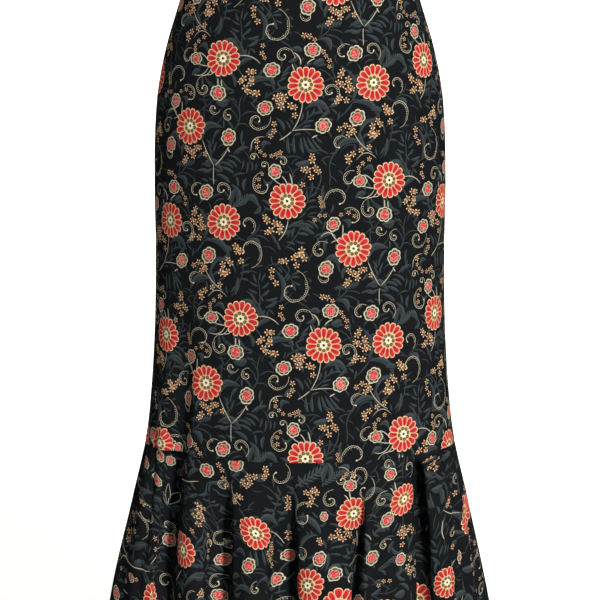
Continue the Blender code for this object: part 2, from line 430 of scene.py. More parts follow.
def gatherPress(angle, below, full=False, leaning=False):
    # each gather: depth * (share * exp(1 - share)) ** 0.5 across a bell, share counted from the seam;
    # its lean dies out down the flounce
    below = np.asarray(below)
    press = np.zeros(np.broadcast(angle, below).shape)
    for atSeam, atHem, left, right, depth, deepest, lean, *ease in form["gathers"]:
        share = np.maximum(below, 0) / deepest
        drift = (atHem - atSeam) * share * deepest / form["flounceLength"]
        offset = (angle - atSeam - drift + 180) % 360 - 180
        grown = 1.0 if full else np.sqrt(share * np.exp(1 - share))
        if ease:
            started = np.clip(below / ease[0], 0, 1)
            grown = grown * started**2 * (3 - 2 * started)
        if leaning:
            grown = grown * (lean * np.exp(-((below / form["leanReach"]) ** 2)))
        press += depth * mm * grown * bell(offset / np.where(offset < 0, left, right))
    return press


def ringAt(angle, height):
    # the ellipse of that height, pressed in along its normal by the folds
    halfWidth, front, back = sectionAt(height)
    depth = np.where(apart(angle, 0) < 90, front, back)
    a = np.radians(angle)
    nx, ny = np.sin(a) / halfWidth, -np.cos(a) / depth
    press = foldPress(angle, flounceSeam - height) / np.hypot(nx, ny)
    return halfWidth * np.sin(a) - nx * press, -depth * np.cos(a) - ny * press


def ringNormal(angle, height, step=0.05):
    # the level outward unit normal: square to the run from a step before to a step after
    before, after = ringAt(angle - step, height), ringAt(angle + step, height)
    runX, runY = after[0] - before[0], after[1] - before[1]
    length = np.hypot(runX, runY)
    return runY / length, -runX / length


def clothDrop(angle, height):
    # flounce cloth that slants out hangs less low: drop = sum of sqrt(step ** 2 - sideways ** 2)
    level = np.array(height, float)
    steps = form["dropSteps"]
    share = np.linspace(0, 1, steps + 1)
    flared = level < flounceSeam
    if not flared.any():
        return level
    aim = np.minimum(level, flounceSeam)
    total = np.zeros_like(level)
    last = ringAt(angle, np.full_like(level, flounceSeam))
    for i in range(1, steps + 1):
        here = ringAt(angle, flounceSeam + (aim - flounceSeam) * share[i])
        down = (flounceSeam - aim) / steps
        side = np.minimum(np.hypot(here[0] - last[0], here[1] - last[1]), form["steepestFold"] * down)
        total += np.sqrt(down**2 - side**2)
        last = here
    return np.where(flared, flounceSeam - total, level)


def skirtPoint(angle, height, proud=0.0):
    # a point of the cloth's outer face, moved out by proud, with its small creases and gathers
    x, y = ringAt(angle, height)
    nx, ny = ringNormal(angle, height)
    out = proud - creasePress(angle, height)
    slip = gatherPress(angle, flounceSeam - height, leaning=True)
    return np.stack([x + nx * out - ny * slip, y + ny * out + nx * slip, clothDrop(angle, height)], -1)


def gridNormals(points):
    # the outward unit normal at each point of a grid, from the runs to its neighbours
    down, across = np.gradient(points, axis=(0, 1))
    normal = np.cross(down, across)
    return normal / np.linalg.norm(normal, axis=-1, keepdims=True)


def spacedWithEdges(length):
    # shares of a length: even steps, and finer ones beside both ends, where the cloth rolls into a seam
    edge = np.array(form["edgeSteps"]) * mm
    count = max(int(round((length - 2 * edge[-1]) / form["faceSize"])), 1)
    inner = np.linspace(edge[-1], length - edge[-1], count + 1)
    return np.concatenate([edge[:-1], inner, (length - edge[:-1])[::-1]]) / length


# Print: charted motifs in one slanted repeat

# Places are (across, down) in millimetres, across from the middle of the front and down from the
# waist seam. A line motif runs from one end to the other; its bend is how far the middle stands off.
chart = {
    "repeat": ((199.9, 141.3), (21.2, 303.1)),
    "daisies": {"A": (-92, 110), "B": (6.6, 140), "C": (87.4, 138), "D": (-136.7, 188.8), "E": (-15, 274)},
    "blossoms": [
        (-98, 150, 1.02), (-129, 110, 0.86), (14.6, 100, 0.98), (-32.5, 123, 0.98), (-40.4, 167, 0.95),
        (27, 187, 0.98), (64.4, 104, 1.0), (67.4, 178, 1.02), (-161, 160, 0.9), (-169.5, 212, 0.98),
        (-84.5, 201, 1.02), (-29, 240, 0.9),
    ],
    "florets": [
        (-59, 125, 1), (-66, 133, 1), (-57, 138, 1), (-64, 144, 1), (-50, 150, 1), (-28, 155, 1),
        (-18, 154, 1), (-22, 165, 1), (-11, 164, 1), (-6, 175, 0.85), (47, 129, 1), (56, 134, 0.95),
        (49, 140, 1), (56, 146, 1), (46, 155, 0.95), (54, 158, 0.9), (102, 166, 0.95), (109, 172, 1),
        (109, 183, 0.9), (86, 188, 0.95), (96, 186, 0.95), (84, 198, 1), (92, 196, 0.95), (46, 191, 0.8),
        (53, 187, 0.85), (60, 190, 0.9), (57, 197, 0.9), (63, 194, 0.8), (57, 228, 0.95), (62, 220, 0.9),
        (72, 216, 0.85), (82, 212, 0.8), (82, 226, 0.7), (74, 231, 0.65), (69, 236, 0.65), (69, 241, 0.6),
        (14, 227, 1), (18, 236, 0.95), (9, 238, 1), (13, 246, 0.9), (3, 255, 0.8), (-38, 297, 1),
        (-29, 300, 1), (-34, 308, 1), (-24, 309, 1), (-30, 185, 0.8), (-30, 193, 0.75), (-34, 199, 0.75),
        (-50, 205, 0.8), (-50, 212, 0.6), (-46, 217, 0.6), (-41, 221, 0.6), (-33, 222, 0.6), (-28, 220, 0.6),
        (-23, 218, 0.7), (-44, 243, 0.5), (-48, 249, 0.6), (-48, 257, 0.7), (23, 270, 0.6), (24, 275, 0.6),
        (25, 280, 0.6), (17, 296, 0.6), (23, 291, 0.6), (29, 291, 0.6), (48, 290, 0.6), (57, 288, 0.65),
        (64, 292, 0.6), (62, 359, 0.95), (72, 356, 0.95), (57, 368, 0.95), (68, 365, 0.95), (85, 362, 0.8),
        (-17, 344, 0.95), (-7, 340, 0.95), (2, 331, 1), (5, 341, 0.95), (-4, 349, 0.9), (-33, 355, 0.9),
        (-33, 363, 0.75), (-28, 370, 0.9), (27, 102, 0.7), (30, 107, 0.6), (34, 112, 0.7), (34, 119, 0.6),
        (5, 83, 0.8), (11, 84, 0.8), (17, 88, 0.65), (-43, 95, 0.7), (-44, 104, 0.75), (-41, 109, 0.6),
    ],
    # columns: eye across and down, reach of the open end, its direction (0 right, 90 down),
    # hand (1 winds in clockwise), radians wound
    "curls": [
        (-50.5, 181, 17, -14, 1, 7), (-84.8, 177, 9.5, -69, -1, 7), (34.6, 147.5, 15.5, 82, -1, 7),
        (-62, 301, 12.5, 65, -1, 5), (-60, 332, 21, 82, -1, 5), (23, 332.5, 13.5, -45, -1, 7),
        (45, 272, 19, 148, 1, 5), (62, 294, 14, -135, 1, 4), (83, 286, 15.5, -84, -1, 8),
        (58, 249.5, 11.5, -60, -1, 5), (45.6, 208, 11, -38, -1, 4), (-20, 228.5, 8.5, 200, 1, 6),
        (-43, 257, 17, -92, -1, 5), (-54.5, 223.5, 6.5, 10, -1, 7), (-42, 232.5, 6, 30, -1, 6),
        (29.5, 364, 8.5, 200, -1, 4), (-19.7, 107, 14, 8, -1, 7), (-9.5, 379, 25, -76, 1, 6),
        (50.6, 103, 11.5, -49, -1, 4), (85, 100, 14, 55, -1, 7), (-104, 168, 9, 10, 1, 6),
    ],
    # columns: from, to, bend, half width
    "stems": [
        (-72, 107, -46, 116, -4, 0.62), (3, 160, -9, 193, -2.5, 0.6), (-9, 193, -24, 204, -0.6, 0.62),
        (-9, 193, 18, 192, -1.2, 0.5), (-14, 296, -25, 320, -2.5, 0.6), (81, 346, 96, 375, 1.0, 0.55),
        (96, 374, 96, 398, 0.4, 0.5), (97, 376, 116, 353, 1.5, 0.55), (63, 195, 86, 219, 3, 0.55),
        (-21, 245, -14, 257, -1, 0.7), (-31, 248, -18, 256, 1.4, 0.6), (36, 310, 46, 322, 1.2, 0.7),
        (50, 302, 49, 318, -0.7, 0.7), (76, 244, 89, 254, -1, 0.7), (76, 258, 91, 260, 0.8, 0.65),
        (68, 270, 89, 261, 5, 0.6), (79, 271, 92, 264, 3, 0.6), (86, 270, 97, 266, 2, 0.55),
        (24, 316, 42, 316, -5, 0.6), (36, 323, 50, 322, -2, 0.5), (-57, 216, -41, 200, -6.5, 0.6),
        (-7, 103, 1, 117, -2.5, 0.85), (8, 116, 17, 110, -0.8, 0.8), (-98, 133, -98, 141, 0.3, 0.8),
        (-12, 242, -9, 258, -0.8, 0.8), (106, 276, 107, 284, 0.3, 0.8), (-9, 116, -6, 124, 0.4, 0.7),
        (20, 198, 14, 201, 0.3, 0.8), (-86, 213, -83, 218, 0.4, 0.9), (66, 227, 91, 226, -7.5, 0.45),
    ],
    # dark foliage: swooshes and blobs first, then sprigs and leaflets
    "leaves": [
        (-119, 207, -92, 190, -12, 5.2), (-118, 200, -97, 189, -8, 0.7), (5, 169, 35, 174, -10.5, 5.0),
        (52, 121, 61, 159, -8, 3.4), (60, 161, 95, 179, -9, 4.4), (92, 180, 70, 196, 6, 3.2),
        (70, 192, 76, 212, 2.5, 3.4), (40, 222, 71, 206, -9, 4.6), (47, 220, 66, 210, -5, 0.7),
        (-17, 307, 13, 313, -9.5, 4.4), (-82, 255, -73, 277, -4.5, 4.0), (-69, 277, -48, 281, -9, 5.0),
        (-49, 276, -54, 289, -4, 3.0), (-43, 248, -31, 250, 6, 3.2), (74, 239, 88, 243, -6, 3.8),
        (49, 297, 57, 306, -5, 3.8), (-43, 216, -33, 208, -6, 3.4), (-101, 161, -84, 159, 2, 5.4),
        (15, 116, 28, 112, 1, 5.6), (65, 272, 78, 265, -2, 4.0), (22, 319, 37, 311, -2, 3.8),
        (41, 391, 57, 404, -7, 4.0), (10, 403, 24, 404, -2, 3.8), (50, 366, 57, 350, -2.5, 2.8),
        (97, 119, 103, 99, -2, 3.8), (103, 119, 119, 107, 2, 3.2), (-112, 136, -97, 141, 3, 1.0),
        (-74, 122, -56, 110, -3, 3.2), (-72, 108, -62, 99, 1.5, 2.2), (-67, 110, -71, 99, -0.6, 1.3),
        (-84, 126, -77, 143, -3, 2.6), (-87, 142, -78, 147, 1, 1.4), (-86, 150, -77, 148, 1, 1.3),
        (-85, 154, -78, 158, 1, 1.3), (-50, 131, -43, 122, 1.2, 1.6), (-52, 137, -47, 130, -0.6, 1.2),
        (-43, 137, -32, 141, 1.2, 1.6), (-31, 138, -29, 147, 0.8, 1.5), (-26, 135, -22, 144, 1, 1.5),
        (-22, 133, -12, 126, -1.2, 1.7), (-28, 147, -11, 145, -2, 2.3), (-21, 127, -11, 118, 1, 1.6),
        (-61, 149, -51, 147, 1, 1.4), (-60, 154, -50, 151, 1, 1.5), (-57, 162, -50, 155, 0.8, 1.4),
        (-41, 156, -38, 148, 0.5, 1.0), (-38, 155, -34, 149, 0.4, 0.9), (-14, 114, -2, 106, 2, 3.0),
        (-28, 178, -18, 193, -2.2, 2.3), (-17, 181, -11, 191, -0.8, 1.3), (-13, 178, -8, 186, -0.6, 1.1),
        (-60, 219, -56, 208, 1, 1.5), (-68, 209, -67, 193, -1, 1.7), (-74, 221, -65, 205, 1, 1.5),
        (-104, 204, -95, 192, -1.6, 2.1), (-79, 221, -60, 212, -2, 2.6), (-87, 182, -79, 191, -1, 1.6),
        (-119, 166, -107, 170, 2.5, 0.8), (-118, 150, -112, 166, 1.5, 0.8),
        (-8, 199, 1, 196, -0.6, 1.4), (-14, 200, -12, 219, 1.4, 2.2), (-7, 199, -6, 219, 1.2, 2.2),
        (1, 200, 4, 219, 1.2, 2.1), (4, 199, 12, 219, 1.4, 2.0), (8, 199, 21, 219, 1.4, 1.9),
        (13, 200, 27, 217, 1.4, 1.8), (17, 198, 26, 207, 1, 1.4), (1, 182, 4, 172, 0.7, 1.4),
        (7, 182, 9, 169, 0.9, 1.4), (12, 177, 17, 167, 0.9, 1.4), (5, 185, 16, 181, -0.9, 1.4),
        (2, 190, 13, 187, -0.8, 1.4), (13, 175, 29, 173, -2, 1.5), (43, 182, 46, 171, 0.6, 1.4),
        (44, 179, 62, 160, 1.5, 1.0), (28, 190, 37, 201, -1, 1.1), (38, 126, 37, 113, 0.7, 1.3),
        (54, 119, 63, 112, -1, 1.2), (66, 115, 71, 126, -1.5, 1.0), (78, 208, 89, 202, 1, 1.4),
        (90, 213, 92, 222, 0.6, 1.2), (95, 221, 101, 213, 0.8, 1.3), (101, 224, 105, 202, 2, 2.6),
        (108, 192, 119, 187, -1, 1.4), (107, 198, 120, 196, -1, 1.5), (104, 190, 110, 180, -1, 1.4),
        (102, 198, 98, 186, 1, 1.4), (107, 205, 118, 206, -1, 1.4),
        (-117, 217, -107, 227, -1, 1.5), (-119, 223, -108, 229, -1, 1.5), (-119, 233, -106, 234, 1, 1.6),
        (-120, 241, -106, 238, 2, 2.5), (-111, 209, -105, 221, 1, 1.6), (-99, 206, -104, 219, 1, 1.6),
        (-113, 203, -106, 212, 0.8, 1.4), (-103, 200, -105, 210, 0.6, 1.4), (-97, 224, -88, 216, 1, 1.3),
        (-102, 233, -91, 226, -1, 1.5), (-98, 231, -79, 236, -2.5, 2.0), (-88, 227, -74, 236, -2, 1.9),
        (-86, 222, -69, 231, -2.5, 1.8), (-97, 236, -78, 243, -2, 2.2), (-101, 244, -83, 254, -2, 2.6),
        (-104, 237, -94, 241, 1, 1.8), (-80, 247, -64, 243, -2, 1.2), (-69, 238, -66, 227, 1, 1.4),
        (-63, 243, -61, 229, 1, 1.5), (-57, 241, -56, 229, 1, 1.4), (-52, 239, -51, 230, 0.6, 1.2),
        (-73, 259, -75, 246, 1, 1.6), (-65, 263, -63, 248, -2, 2.5), (-92, 262, -84, 273, -1, 1.2),
        (-45, 273, -35, 280, -1.5, 1.9), (-42, 280, -33, 285, 1, 1.3), (-35, 311, -28, 324, -1, 2.1),
        (-26, 320, -23, 331, 1, 1.7), (-4, 312, 10, 314, -1, 2.1), (-9, 317, -6, 305, -1, 1.7),
        (-16, 322, -6, 325, -1, 1.6), (-14, 317, -10, 307, -0.8, 1.5), (-6, 320, 6, 323, 1, 1.6),
        (-16, 328, -6, 332, -1, 1.5), (10, 273, 8, 261, -0.8, 1.4), (14, 263, 14, 252, 0.6, 1.4),
        (11, 269, 20, 263, 0.8, 1.4), (8, 276, 19, 273, -0.8, 1.5), (25, 271, 28, 255, -0.8, 1.5),
        (6, 286, 21, 281, -2.5, 1.0), (8, 292, 20, 288, -2, 0.9), (-108, 276, -94, 268, -3, 1.0),
        (-104, 280, -90, 273, -2.5, 1.0), (76, 292, 91, 292, 3, 0.8), (74, 296, 91, 298, 3, 0.7),
        (-60, 368, -49, 374, 1, 1.4), (-55, 359, -51, 370, 0.8, 1.6), (-46, 356, -48, 367, 0.4, 1.2),
        (-45, 369, -40, 359, -0.6, 1.4), (-45, 377, -36, 369, 0.8, 1.5), (-61, 377, -50, 382, 1, 1.6),
        (-57, 382, -51, 395, 1, 2.2), (-46, 386, -36, 378, 1, 1.9), (-49, 384, -43, 392, -0.6, 1.4),
        (-41, 390, -26, 387, 1.6, 2.3), (-41, 399, -27, 391, 1.6, 2.4), (-50, 392, -40, 413, 1.6, 2.7),
        (-55, 393, -47, 406, 1, 1.9), (-38, 401, -31, 407, -0.8, 1.4), (-27, 351, -21, 358, -0.8, 1.4),
        (-20, 366, -13, 357, 1, 1.6), (-17, 368, -11, 360, 0.6, 1.3), (-12, 364, 0, 363, -1, 1.5),
        (-10, 360, 0, 355, 0.8, 1.4), (-9, 369, -5, 379, 0.8, 1.8), (-7, 368, 1, 372, 0.8, 1.3),
        (-20, 377, -13, 381, 0.6, 1.4), (3, 359, 9, 356, -0.6, 1.1), (9, 364, 13, 369, -0.6, 1.2),
        (9, 372, 13, 377, 0.6, 1.2), (8, 380, 11, 385, 0.5, 1.1), (-20, 384, -12, 387, 0.6, 1.2),
        (72, 383, 91, 383, -2, 2.2), (80, 372, 90, 375, 1, 1.5), (73, 368, 81, 360, 1, 2.0),
        (-52, 352, -43, 350, -0.8, 1.2), (42, 348, 47, 358, -0.6, 1.3), (37, 338, 45, 345, -1, 1.3),
        (18, 215, 33, 220, -1.5, 1.0), (32, 233, 26, 226, -0.6, 0.9), (34, 258, 40, 266, -0.8, 1.2),
        (44, 238, 50, 244, -0.6, 1.1), (-30, 262, -22, 258, -0.6, 0.9), (20, 148, 28, 156, -0.8, 1.2),
        (60, 232, 52, 240, 0.8, 1.1), (-52, 168, -58, 160, 0.6, 1.1), (84, 152, 92, 160, 0.8, 1.2),
    ],
    # columns: from, to, length of its leaflets
    "fronds": [
        (96, 122, 120, 106, 6), (40, 376, 70, 372, 5.5),
    ],
    # thin dark tendrils
    "tendrils": [
        (-77, 193, -70, 174, 1.5, 0.75), (-70, 175, -67, 152, -2.5, 0.65), (-71, 177, -80, 160, 3, 0.6),
        (-73, 183, -83, 168, 2.5, 0.6), (-69, 177, -50, 173, -3.5, 0.65), (-76, 189, -59, 189, -4, 0.65),
        (-76, 192, -85, 180, -1.5, 0.6), (34, 256, 34, 236, 1.2, 0.65), (34, 238, 43, 216, -2.5, 0.75),
        (24, 228, 37, 223, -2, 0.6), (35, 245, 43, 253, -1, 0.6), (34, 230, 42, 234, -1, 0.5),
        (-18, 226, 3, 225, -3.5, 0.6), (-10, 232, -2, 224, -1, 0.5), (-8, 246, 3, 236, -4, 0.6),
        (2, 252, 8, 236, 1.5, 0.5), (85, 326, 85, 305, -1.5, 0.65), (85, 308, 95, 297, 2, 0.5),
        (90, 303, 97, 319, -1.5, 0.6), (77, 313, 86, 304, 1, 0.5), (-41, 354, -19, 353, -6, 0.65),
        (-30, 349, -33, 338, -1.5, 0.5), (-19, 396, 4, 397, -6, 0.6), (-3, 392, 13, 403, -1.5, 0.6),
        (42, 389, 58, 373, 3, 0.7), (45, 386, 46, 376, 1, 0.55), (51, 386, 69, 393, -2.5, 0.7),
        (56, 380, 72, 384, -1.5, 0.6), (-70, 361, -50, 359, -3.5, 0.65), (-69, 352, -58, 340, -2, 0.6),
        (22, 122, 40, 138, -3, 0.6), (30, 118, 41, 136, -3, 0.6), (40, 136, 43, 148, -1, 0.5),
        (66, 228, 90, 224, -7, 0.7), (-119, 124, -103, 140, 3, 0.6), (-116, 130, -104, 144, 2.5, 0.5),
        (-108, 181, -100, 174, -1, 0.5), (-56, 152, -47, 160, 2.5, 0.5), (50, 254, 59, 259, -1, 0.55),
        (51, 266, 57, 257, 1, 0.5), (-8, 380, -30, 392, -3, 0.5), (102, 208, 96, 226, -2, 0.5),
        (12, 208, 26, 220, 3, 0.45), (-22, 108, -22, 119, -1, 0.55), (27, 138, 44, 132, -2, 0.5),
        (110, 160, 98, 150, 2, 0.6), (100, 158, 118, 163, -3, 0.5), (-100, 186, -92, 176, 1, 0.5),
        (22, 330, 10, 345, 2.5, 0.5), (2, 262, 26, 262, -4, 0.45), (60, 280, 52, 292, 2, 0.5),
        (-66, 216, -58, 232, -2, 0.55), (-44, 328, -28, 334, -3, 0.5), (-58, 148, -66, 160, 2, 0.5),
        (98, 262, 118, 270, -3, 0.6), (14, 156, 24, 164, 2, 0.5), (-48, 290, -40, 282, 2, 0.5),
        (-48, 410, -49, 366, 1.5, 0.6), (-24, 349, -5, 376, -2, 0.6), (-18, 330, 2, 302, 2, 0.6),
        (106, 212, 112, 180, 2, 0.6), (-105, 230, -108, 202, -1.5, 0.6), (-10, 194, 16, 170, 2, 0.6),
        (2, 286, 14, 256, 2, 0.6),
    ],
}

# How each kind of motif is drawn: how many layers its neighbours are shared out to, and the room in
# millimetres that it keeps to itself. Kinds of one size and shape also have the box that they keep to
# in their own units: middle across and down, half length, half width.
motifKinds = {
    "tendrils": {"layers": 3, "room": 3},
    "leaves": {"layers": 5, "room": 2.0},
    "fronds": {"layers": 2, "room": 7},
    "stems": {"layers": 2, "room": 7},
    "curls": {"layers": 3, "room": 10, "box": (2.5, 1.9, 8.6, 6.2)},
    "florets": {"layers": 4, "room": 3.2, "box": (0, 0, 4.6, 4.6)},
    "blossoms": {"layers": 1, "room": 17, "box": (0, 0, 10.4, 10.4)},
    "daisies": {"layers": 1, "room": 24, "box": (0, 0, 22.2, 22.2)},
}
flowerKinds = ("daisies", "blossoms", "curls", "stems", "florets")
foliageKinds = ("fronds", "leaves", "tendrils")
# columns: turn from one motif to the next in degrees, the first one's tag, the tag's step
flowerLots = {"daisies": (37.0, 0.13, 0.109), "blossoms": (47.0, 0.05, 0.077), "florets": (23.0, 0.0, 0.37)}
# full-sized florets have a smaller one beside them, in directions that step by a fixed number of radians
bunch = {"fullSize": 0.92, "apart": 5.2, "step": 2.4, "size": 0.82, "turn": 41.0}
halfLine = 10  # a line, leaf or frond is drawn from -10 to 10 in its own units
lineBox = (10.3, 1.2)  # half the box of a line or leaf in its own units, before its bend
frondBox = (4, 10.5)  # what a frond's box adds to its length, and half its width
curlSizeShare = 4  # a curl's tag is the radians wound and a fourth of its size
stemWidth = 0.8
bareRoom = 1.5  # more millimetres that the second foliage keeps clear
repeatCells = range(-8, 9)
motifReach = 70.0  # how far a daisy's family can reach from it
farAway = 99.5  # where the corners of a face without a motif are
lookAround = 0.6  # of a face's width: how far from its middle a face looks for motifs


def motifsOf(chart):
    # every charted motif as a dictionary in one form: place, turn, sizes of its units, tag for the shader
    motifs = []
    for kind, (spin, firstTag, tagStep) in flowerLots.items():
        rows = chart[kind].values() if kind == "daisies" else chart[kind]
        for i, (across, down, *size) in enumerate(rows):
            size = size[0] if size else 1
            tag = firstTag + tagStep * i
            if kind == "florets":
                tag = tag % 1
            motifs.append(dict(kind=kind, at=(across, down), angle=spin * i, size=(size, size), tag=tag))
            if kind == "florets" and size > bunch["fullSize"]:
                beside = (across + bunch["apart"] * math.cos(bunch["step"] * i),
                          down + bunch["apart"] * math.sin(bunch["step"] * i))
                motifs.append(dict(kind=kind, at=beside, angle=bunch["turn"] * i,
                                   size=(bunch["size"], bunch["size"]), tag=1 - tag))
    for eyeAcross, eyeDown, reach, direction, hand, wound in chart["curls"]:
        size = reach / halfLine
        motifs.append(dict(kind="curls", at=(eyeAcross, eyeDown), angle=direction,
                           size=(size, size * hand), tag=wound + size / curlSizeShare))
    for kind in ("stems", "tendrils", "leaves", "fronds"):
        for x0, y0, x1, y1, *rest in chart[kind]:
            length = math.hypot(x1 - x0, y1 - y0)
            motif = dict(kind=kind, at=((x0 + x1) / 2, (y0 + y1) / 2),
                         angle=math.degrees(math.atan2(y1 - y0, x1 - x0)))
            if kind == "fronds":
                leaflet, = rest
                half = length * halfLine / 2 / leaflet
                motif.update(size=(leaflet / halfLine, leaflet / halfLine), tag=half,
                             box=(frondBox[0], 0, half + frondBox[0], frondBox[1]))
            else:
                bow, width = rest
                if kind == "stems":
                    width = width * stemWidth
                bend = bow / width
                motif.update(size=(length / 2 / halfLine, width), tag=bend,
                             box=(0, bend / 2, lineBox[0], abs(bend) / 2 + lineBox[1]))
            motifs.append(motif)
    return motifs


def familiesOfRepeat():
    # each motif joins the nearest daisy of the repeat, as an offset from it
    steps = np.array(chart["repeat"]).T
    back = np.linalg.inv(steps)
    daisies = {letter: np.array(place) for letter, place in chart["daisies"].items()}
    families = {letter: [] for letter in daisies}
    for motif in motifsOf(chart):
        offsets = {}
        for letter, place in daisies.items():
            cells = back @ (np.array(motif["at"]) - place)
            tries = [steps @ (cells - np.round(cells) + (i, j)) for i in (-1, 0, 1) for j in (-1, 0, 1)]
            offsets[letter] = min(tries, key=np.linalg.norm)
        nearest = min(offsets, key=lambda letter: np.linalg.norm(offsets[letter]))
        families[nearest].append({**motif, "at": offsets[nearest]})
    return families


families = familiesOfRepeat()


def anchorsOfRepeat(across, down, shift, nudges=None):
    # (letter, across, down) of every daisy of the repeat that can reach into a piece, some nudged aside
    steps = np.array(chart["repeat"])
    low = np.array((across[0], down[0])) - motifReach
    high = np.array((across[1], down[1])) + motifReach
    found = []
    for letter, place in chart["daisies"].items():
        for i in repeatCells:
            for j in repeatCells:
                nudge = (nudges or {}).get((letter, i, j), (0.0, 0.0))
                at = np.array(place) + shift + i * steps[0] + j * steps[1] + nudge
                if (low < at).all() and (at < high).all():
                    found.append((letter, at[0], at[1]))
    return found


def motifsAt(anchors):
    # each daisy's whole family, moved to where that daisy is
    return [{**motif, "at": (across + motif["at"][0], down + motif["at"][1])}
            for letter, across, down in anchors for motif in families[letter]]


def moreFoliage(placed, across, down, shift):
    # foliage of the repeat laid once more, shifted, wherever the ground is still bare
    again = motifsAt(anchorsOfRepeat(across, down, shift))
    dark = [motif for motif in again if motif["kind"] in ("leaves", "tendrils")]
    return fillRoom(placed, dark, bareRoom)


def fillRoom(placed, more, extra=0.0):
    # motifs of more join wherever they stay clear of what is there: flowers first, foliage on its own
    for kinds in (flowerKinds, foliageKinds):
        there = [(*motif["at"], motifKinds[motif["kind"]]["room"]) for motif in placed
                 if motif["kind"] in kinds]
        for kind in kinds:
            room = motifKinds[kind]["room"]
            for motif in more:
                if motif["kind"] != kind:
                    continue
                known = np.array(there)
                away = np.hypot(known[:, 0] - motif["at"][0], known[:, 1] - motif["at"][1])
                if (away > known[:, 2] + room + extra).all():
                    placed.append(motif)
                    there.append((*motif["at"], room))
    return placed


def cornersOf(grid):
    # the values at each face's four corners, in the order of its quad
    return np.stack([grid[:-1, :-1], grid[1:, :-1], grid[1:, 1:], grid[:-1, 1:]], -1)


def middlesOf(grid):
    # the mean of each face's four corners
    return (grid[1:, 1:] + grid[1:, :-1] + grid[:-1, 1:] + grid[:-1, :-1]) / 4


def layMotifs(across, down, motifs):
    # per face: the motif of each layer that covers it, as the face's corners in the motif's own units
    middleAcross, middleDown = middlesOf(across), middlesOf(down)
    cornerAcross, cornerDown = cornersOf(across), cornersOf(down)
    rowDown = middleDown[:, 0]
    spare = lookAround * form["faceSize"] / mm
    # faces in the gathers hold more of the print across, so they look that much further for their motifs
    wider = np.maximum(lookAround * np.abs(cornerAcross[..., 3] - cornerAcross[..., 0]) - spare, 0)
    layers = {}
    for kind, drawn in motifKinds.items():
        count = drawn["layers"]
        places = [np.full((*middleAcross.shape, 4, 3), farAway, np.float32) for _ in range(count)]
        nearest = [np.full(middleAcross.shape, np.inf) for _ in range(count)]
        for motif in motifs:
            if motif["kind"] != kind:
                continue
            boxAcross, boxDown, halfLength, halfWidth = motif["box"] if "box" in motif else drawn["box"]
            sizeX, sizeY = motif["size"]
            reach = math.hypot((abs(boxAcross) + halfLength) * sizeX, (abs(boxDown) + halfWidth) * sizeY)
            reach += spare
            rows = slice(*np.searchsorted(rowDown, (motif["at"][1] - reach, motif["at"][1] + reach)))
            if rows.start == rows.stop:
                continue
            angle = math.radians(motif["angle"])
            cosine, sine = math.cos(angle), math.sin(angle)
            dx, dy = middleAcross[rows] - motif["at"][0], middleDown[rows] - motif["at"][1]
            x, y = (dx * cosine + dy * sine) / sizeX, (dy * cosine - dx * sine) / sizeY
            offX, offY = np.abs(x - boxAcross), np.abs(y - boxDown)
            more = wider[rows]
            inside = (offX < halfLength + (spare + abs(cosine) * more) / sizeX)
            inside &= offY < halfWidth + (spare + abs(sine) * more) / abs(sizeY)
            if not inside.any():
                continue
            closeness = np.maximum(offX / halfLength, offY / halfWidth)
            clashes = [int(np.isfinite(nearest[i][rows][inside]).sum()) for i in range(count)]
            layer = int(np.argmin(clashes))
            chosen = inside & (closeness < nearest[layer][rows])
            r, c = np.nonzero(chosen)
            r = r + rows.start
            nearest[layer][r, c] = closeness[chosen]
            dx, dy = cornerAcross[r, c] - motif["at"][0], cornerDown[r, c] - motif["at"][1]
            places[layer][r, c, :, 0] = (dx * cosine + dy * sine) / sizeX
            places[layer][r, c, :, 1] = (dy * cosine - dx * sine) / sizeY
            places[layer][r, c, :, 2] = motif["tag"]
        for i in range(count):
            layers[f"{kind}{i}"] = places[i]
    return layers


# Motif drawings as node groups

# the darker and the lighter colour of each kind
motifColours = {
    "tendrils": ("#2f3334", "#434849"),
    "leaves": ("#232829", "#444b4c"),
    "fronds": ("#2c3233", "#464c4d"),
    "stems": ("#a19a86", "#cfc7b1"),
    "curls": ("#b3a585", "#e8dcbc"),
    "florets": ("#a3744b", "#f6d4ab"),
    "blossoms": ("#7f7867", "#d3c7aa"),
    "daisies": ("#e2b788", "#f9e0b8"),
}

# lengths and sizes in millimetres, noise scales in waves to a millimetre
crepe = {
    "ground": "#141617",
    "groundLight": "#1c1d1f",
    "mottleScale": 0.05,
    "wrongSide": "#3c3d3f",
    "wrongShare": 0.72,
    "roughness": 0.82,
    "threadPitch": 1.5,  # the real 0.4 mm grain is too fine to show, so it is drawn coarser
    "grainSpan": (0.3, 0.7),  # the noise in the grain's hollows and on its tops
    "grainPaintedShades": (0.62, 0.77),  # how bright the colours are there: all dimmed to the cloth's level, and more in the hollows than on the tops, a painted shade in the grain
    "grainHeight": 0.2,
    "wobble": 0.55,  # how far a printed line strays
    "wobbleScale": 0.16,
    "dyeCloudScale": 0.03,
}


def startGroup(name):
    tree = bpy.data.node_groups.new(name, "ShaderNodeTree")
    for label, side, kind in (
        ("Place", "INPUT", "NodeSocketVector"),
        ("Dark", "INPUT", "NodeSocketColor"),
        ("Light", "INPUT", "NodeSocketColor"),
        ("Colour", "OUTPUT", "NodeSocketColor"),
        ("Cover", "OUTPUT", "NodeSocketFloat"),
    ):
        tree.interface.new_socket(label, in_out=side, socket_type=kind)
    add = partial(addNode, tree)
    place, dark, light, _ = add("NodeGroupInput").node.outputs
    x, y, tag = add("SeparateXYZ", place).node.outputs
    return tree, add, x, y, tag, dark, light


def below(add, value, limit, soft):
    # 1 where value is under limit and 0 over it, with a soft edge
    low = add("Math:SUBTRACT", limit, soft)
    high = add("Math:ADD", limit, soft)
    return add("MapRange", value, low, high, 1.0, 0.0)


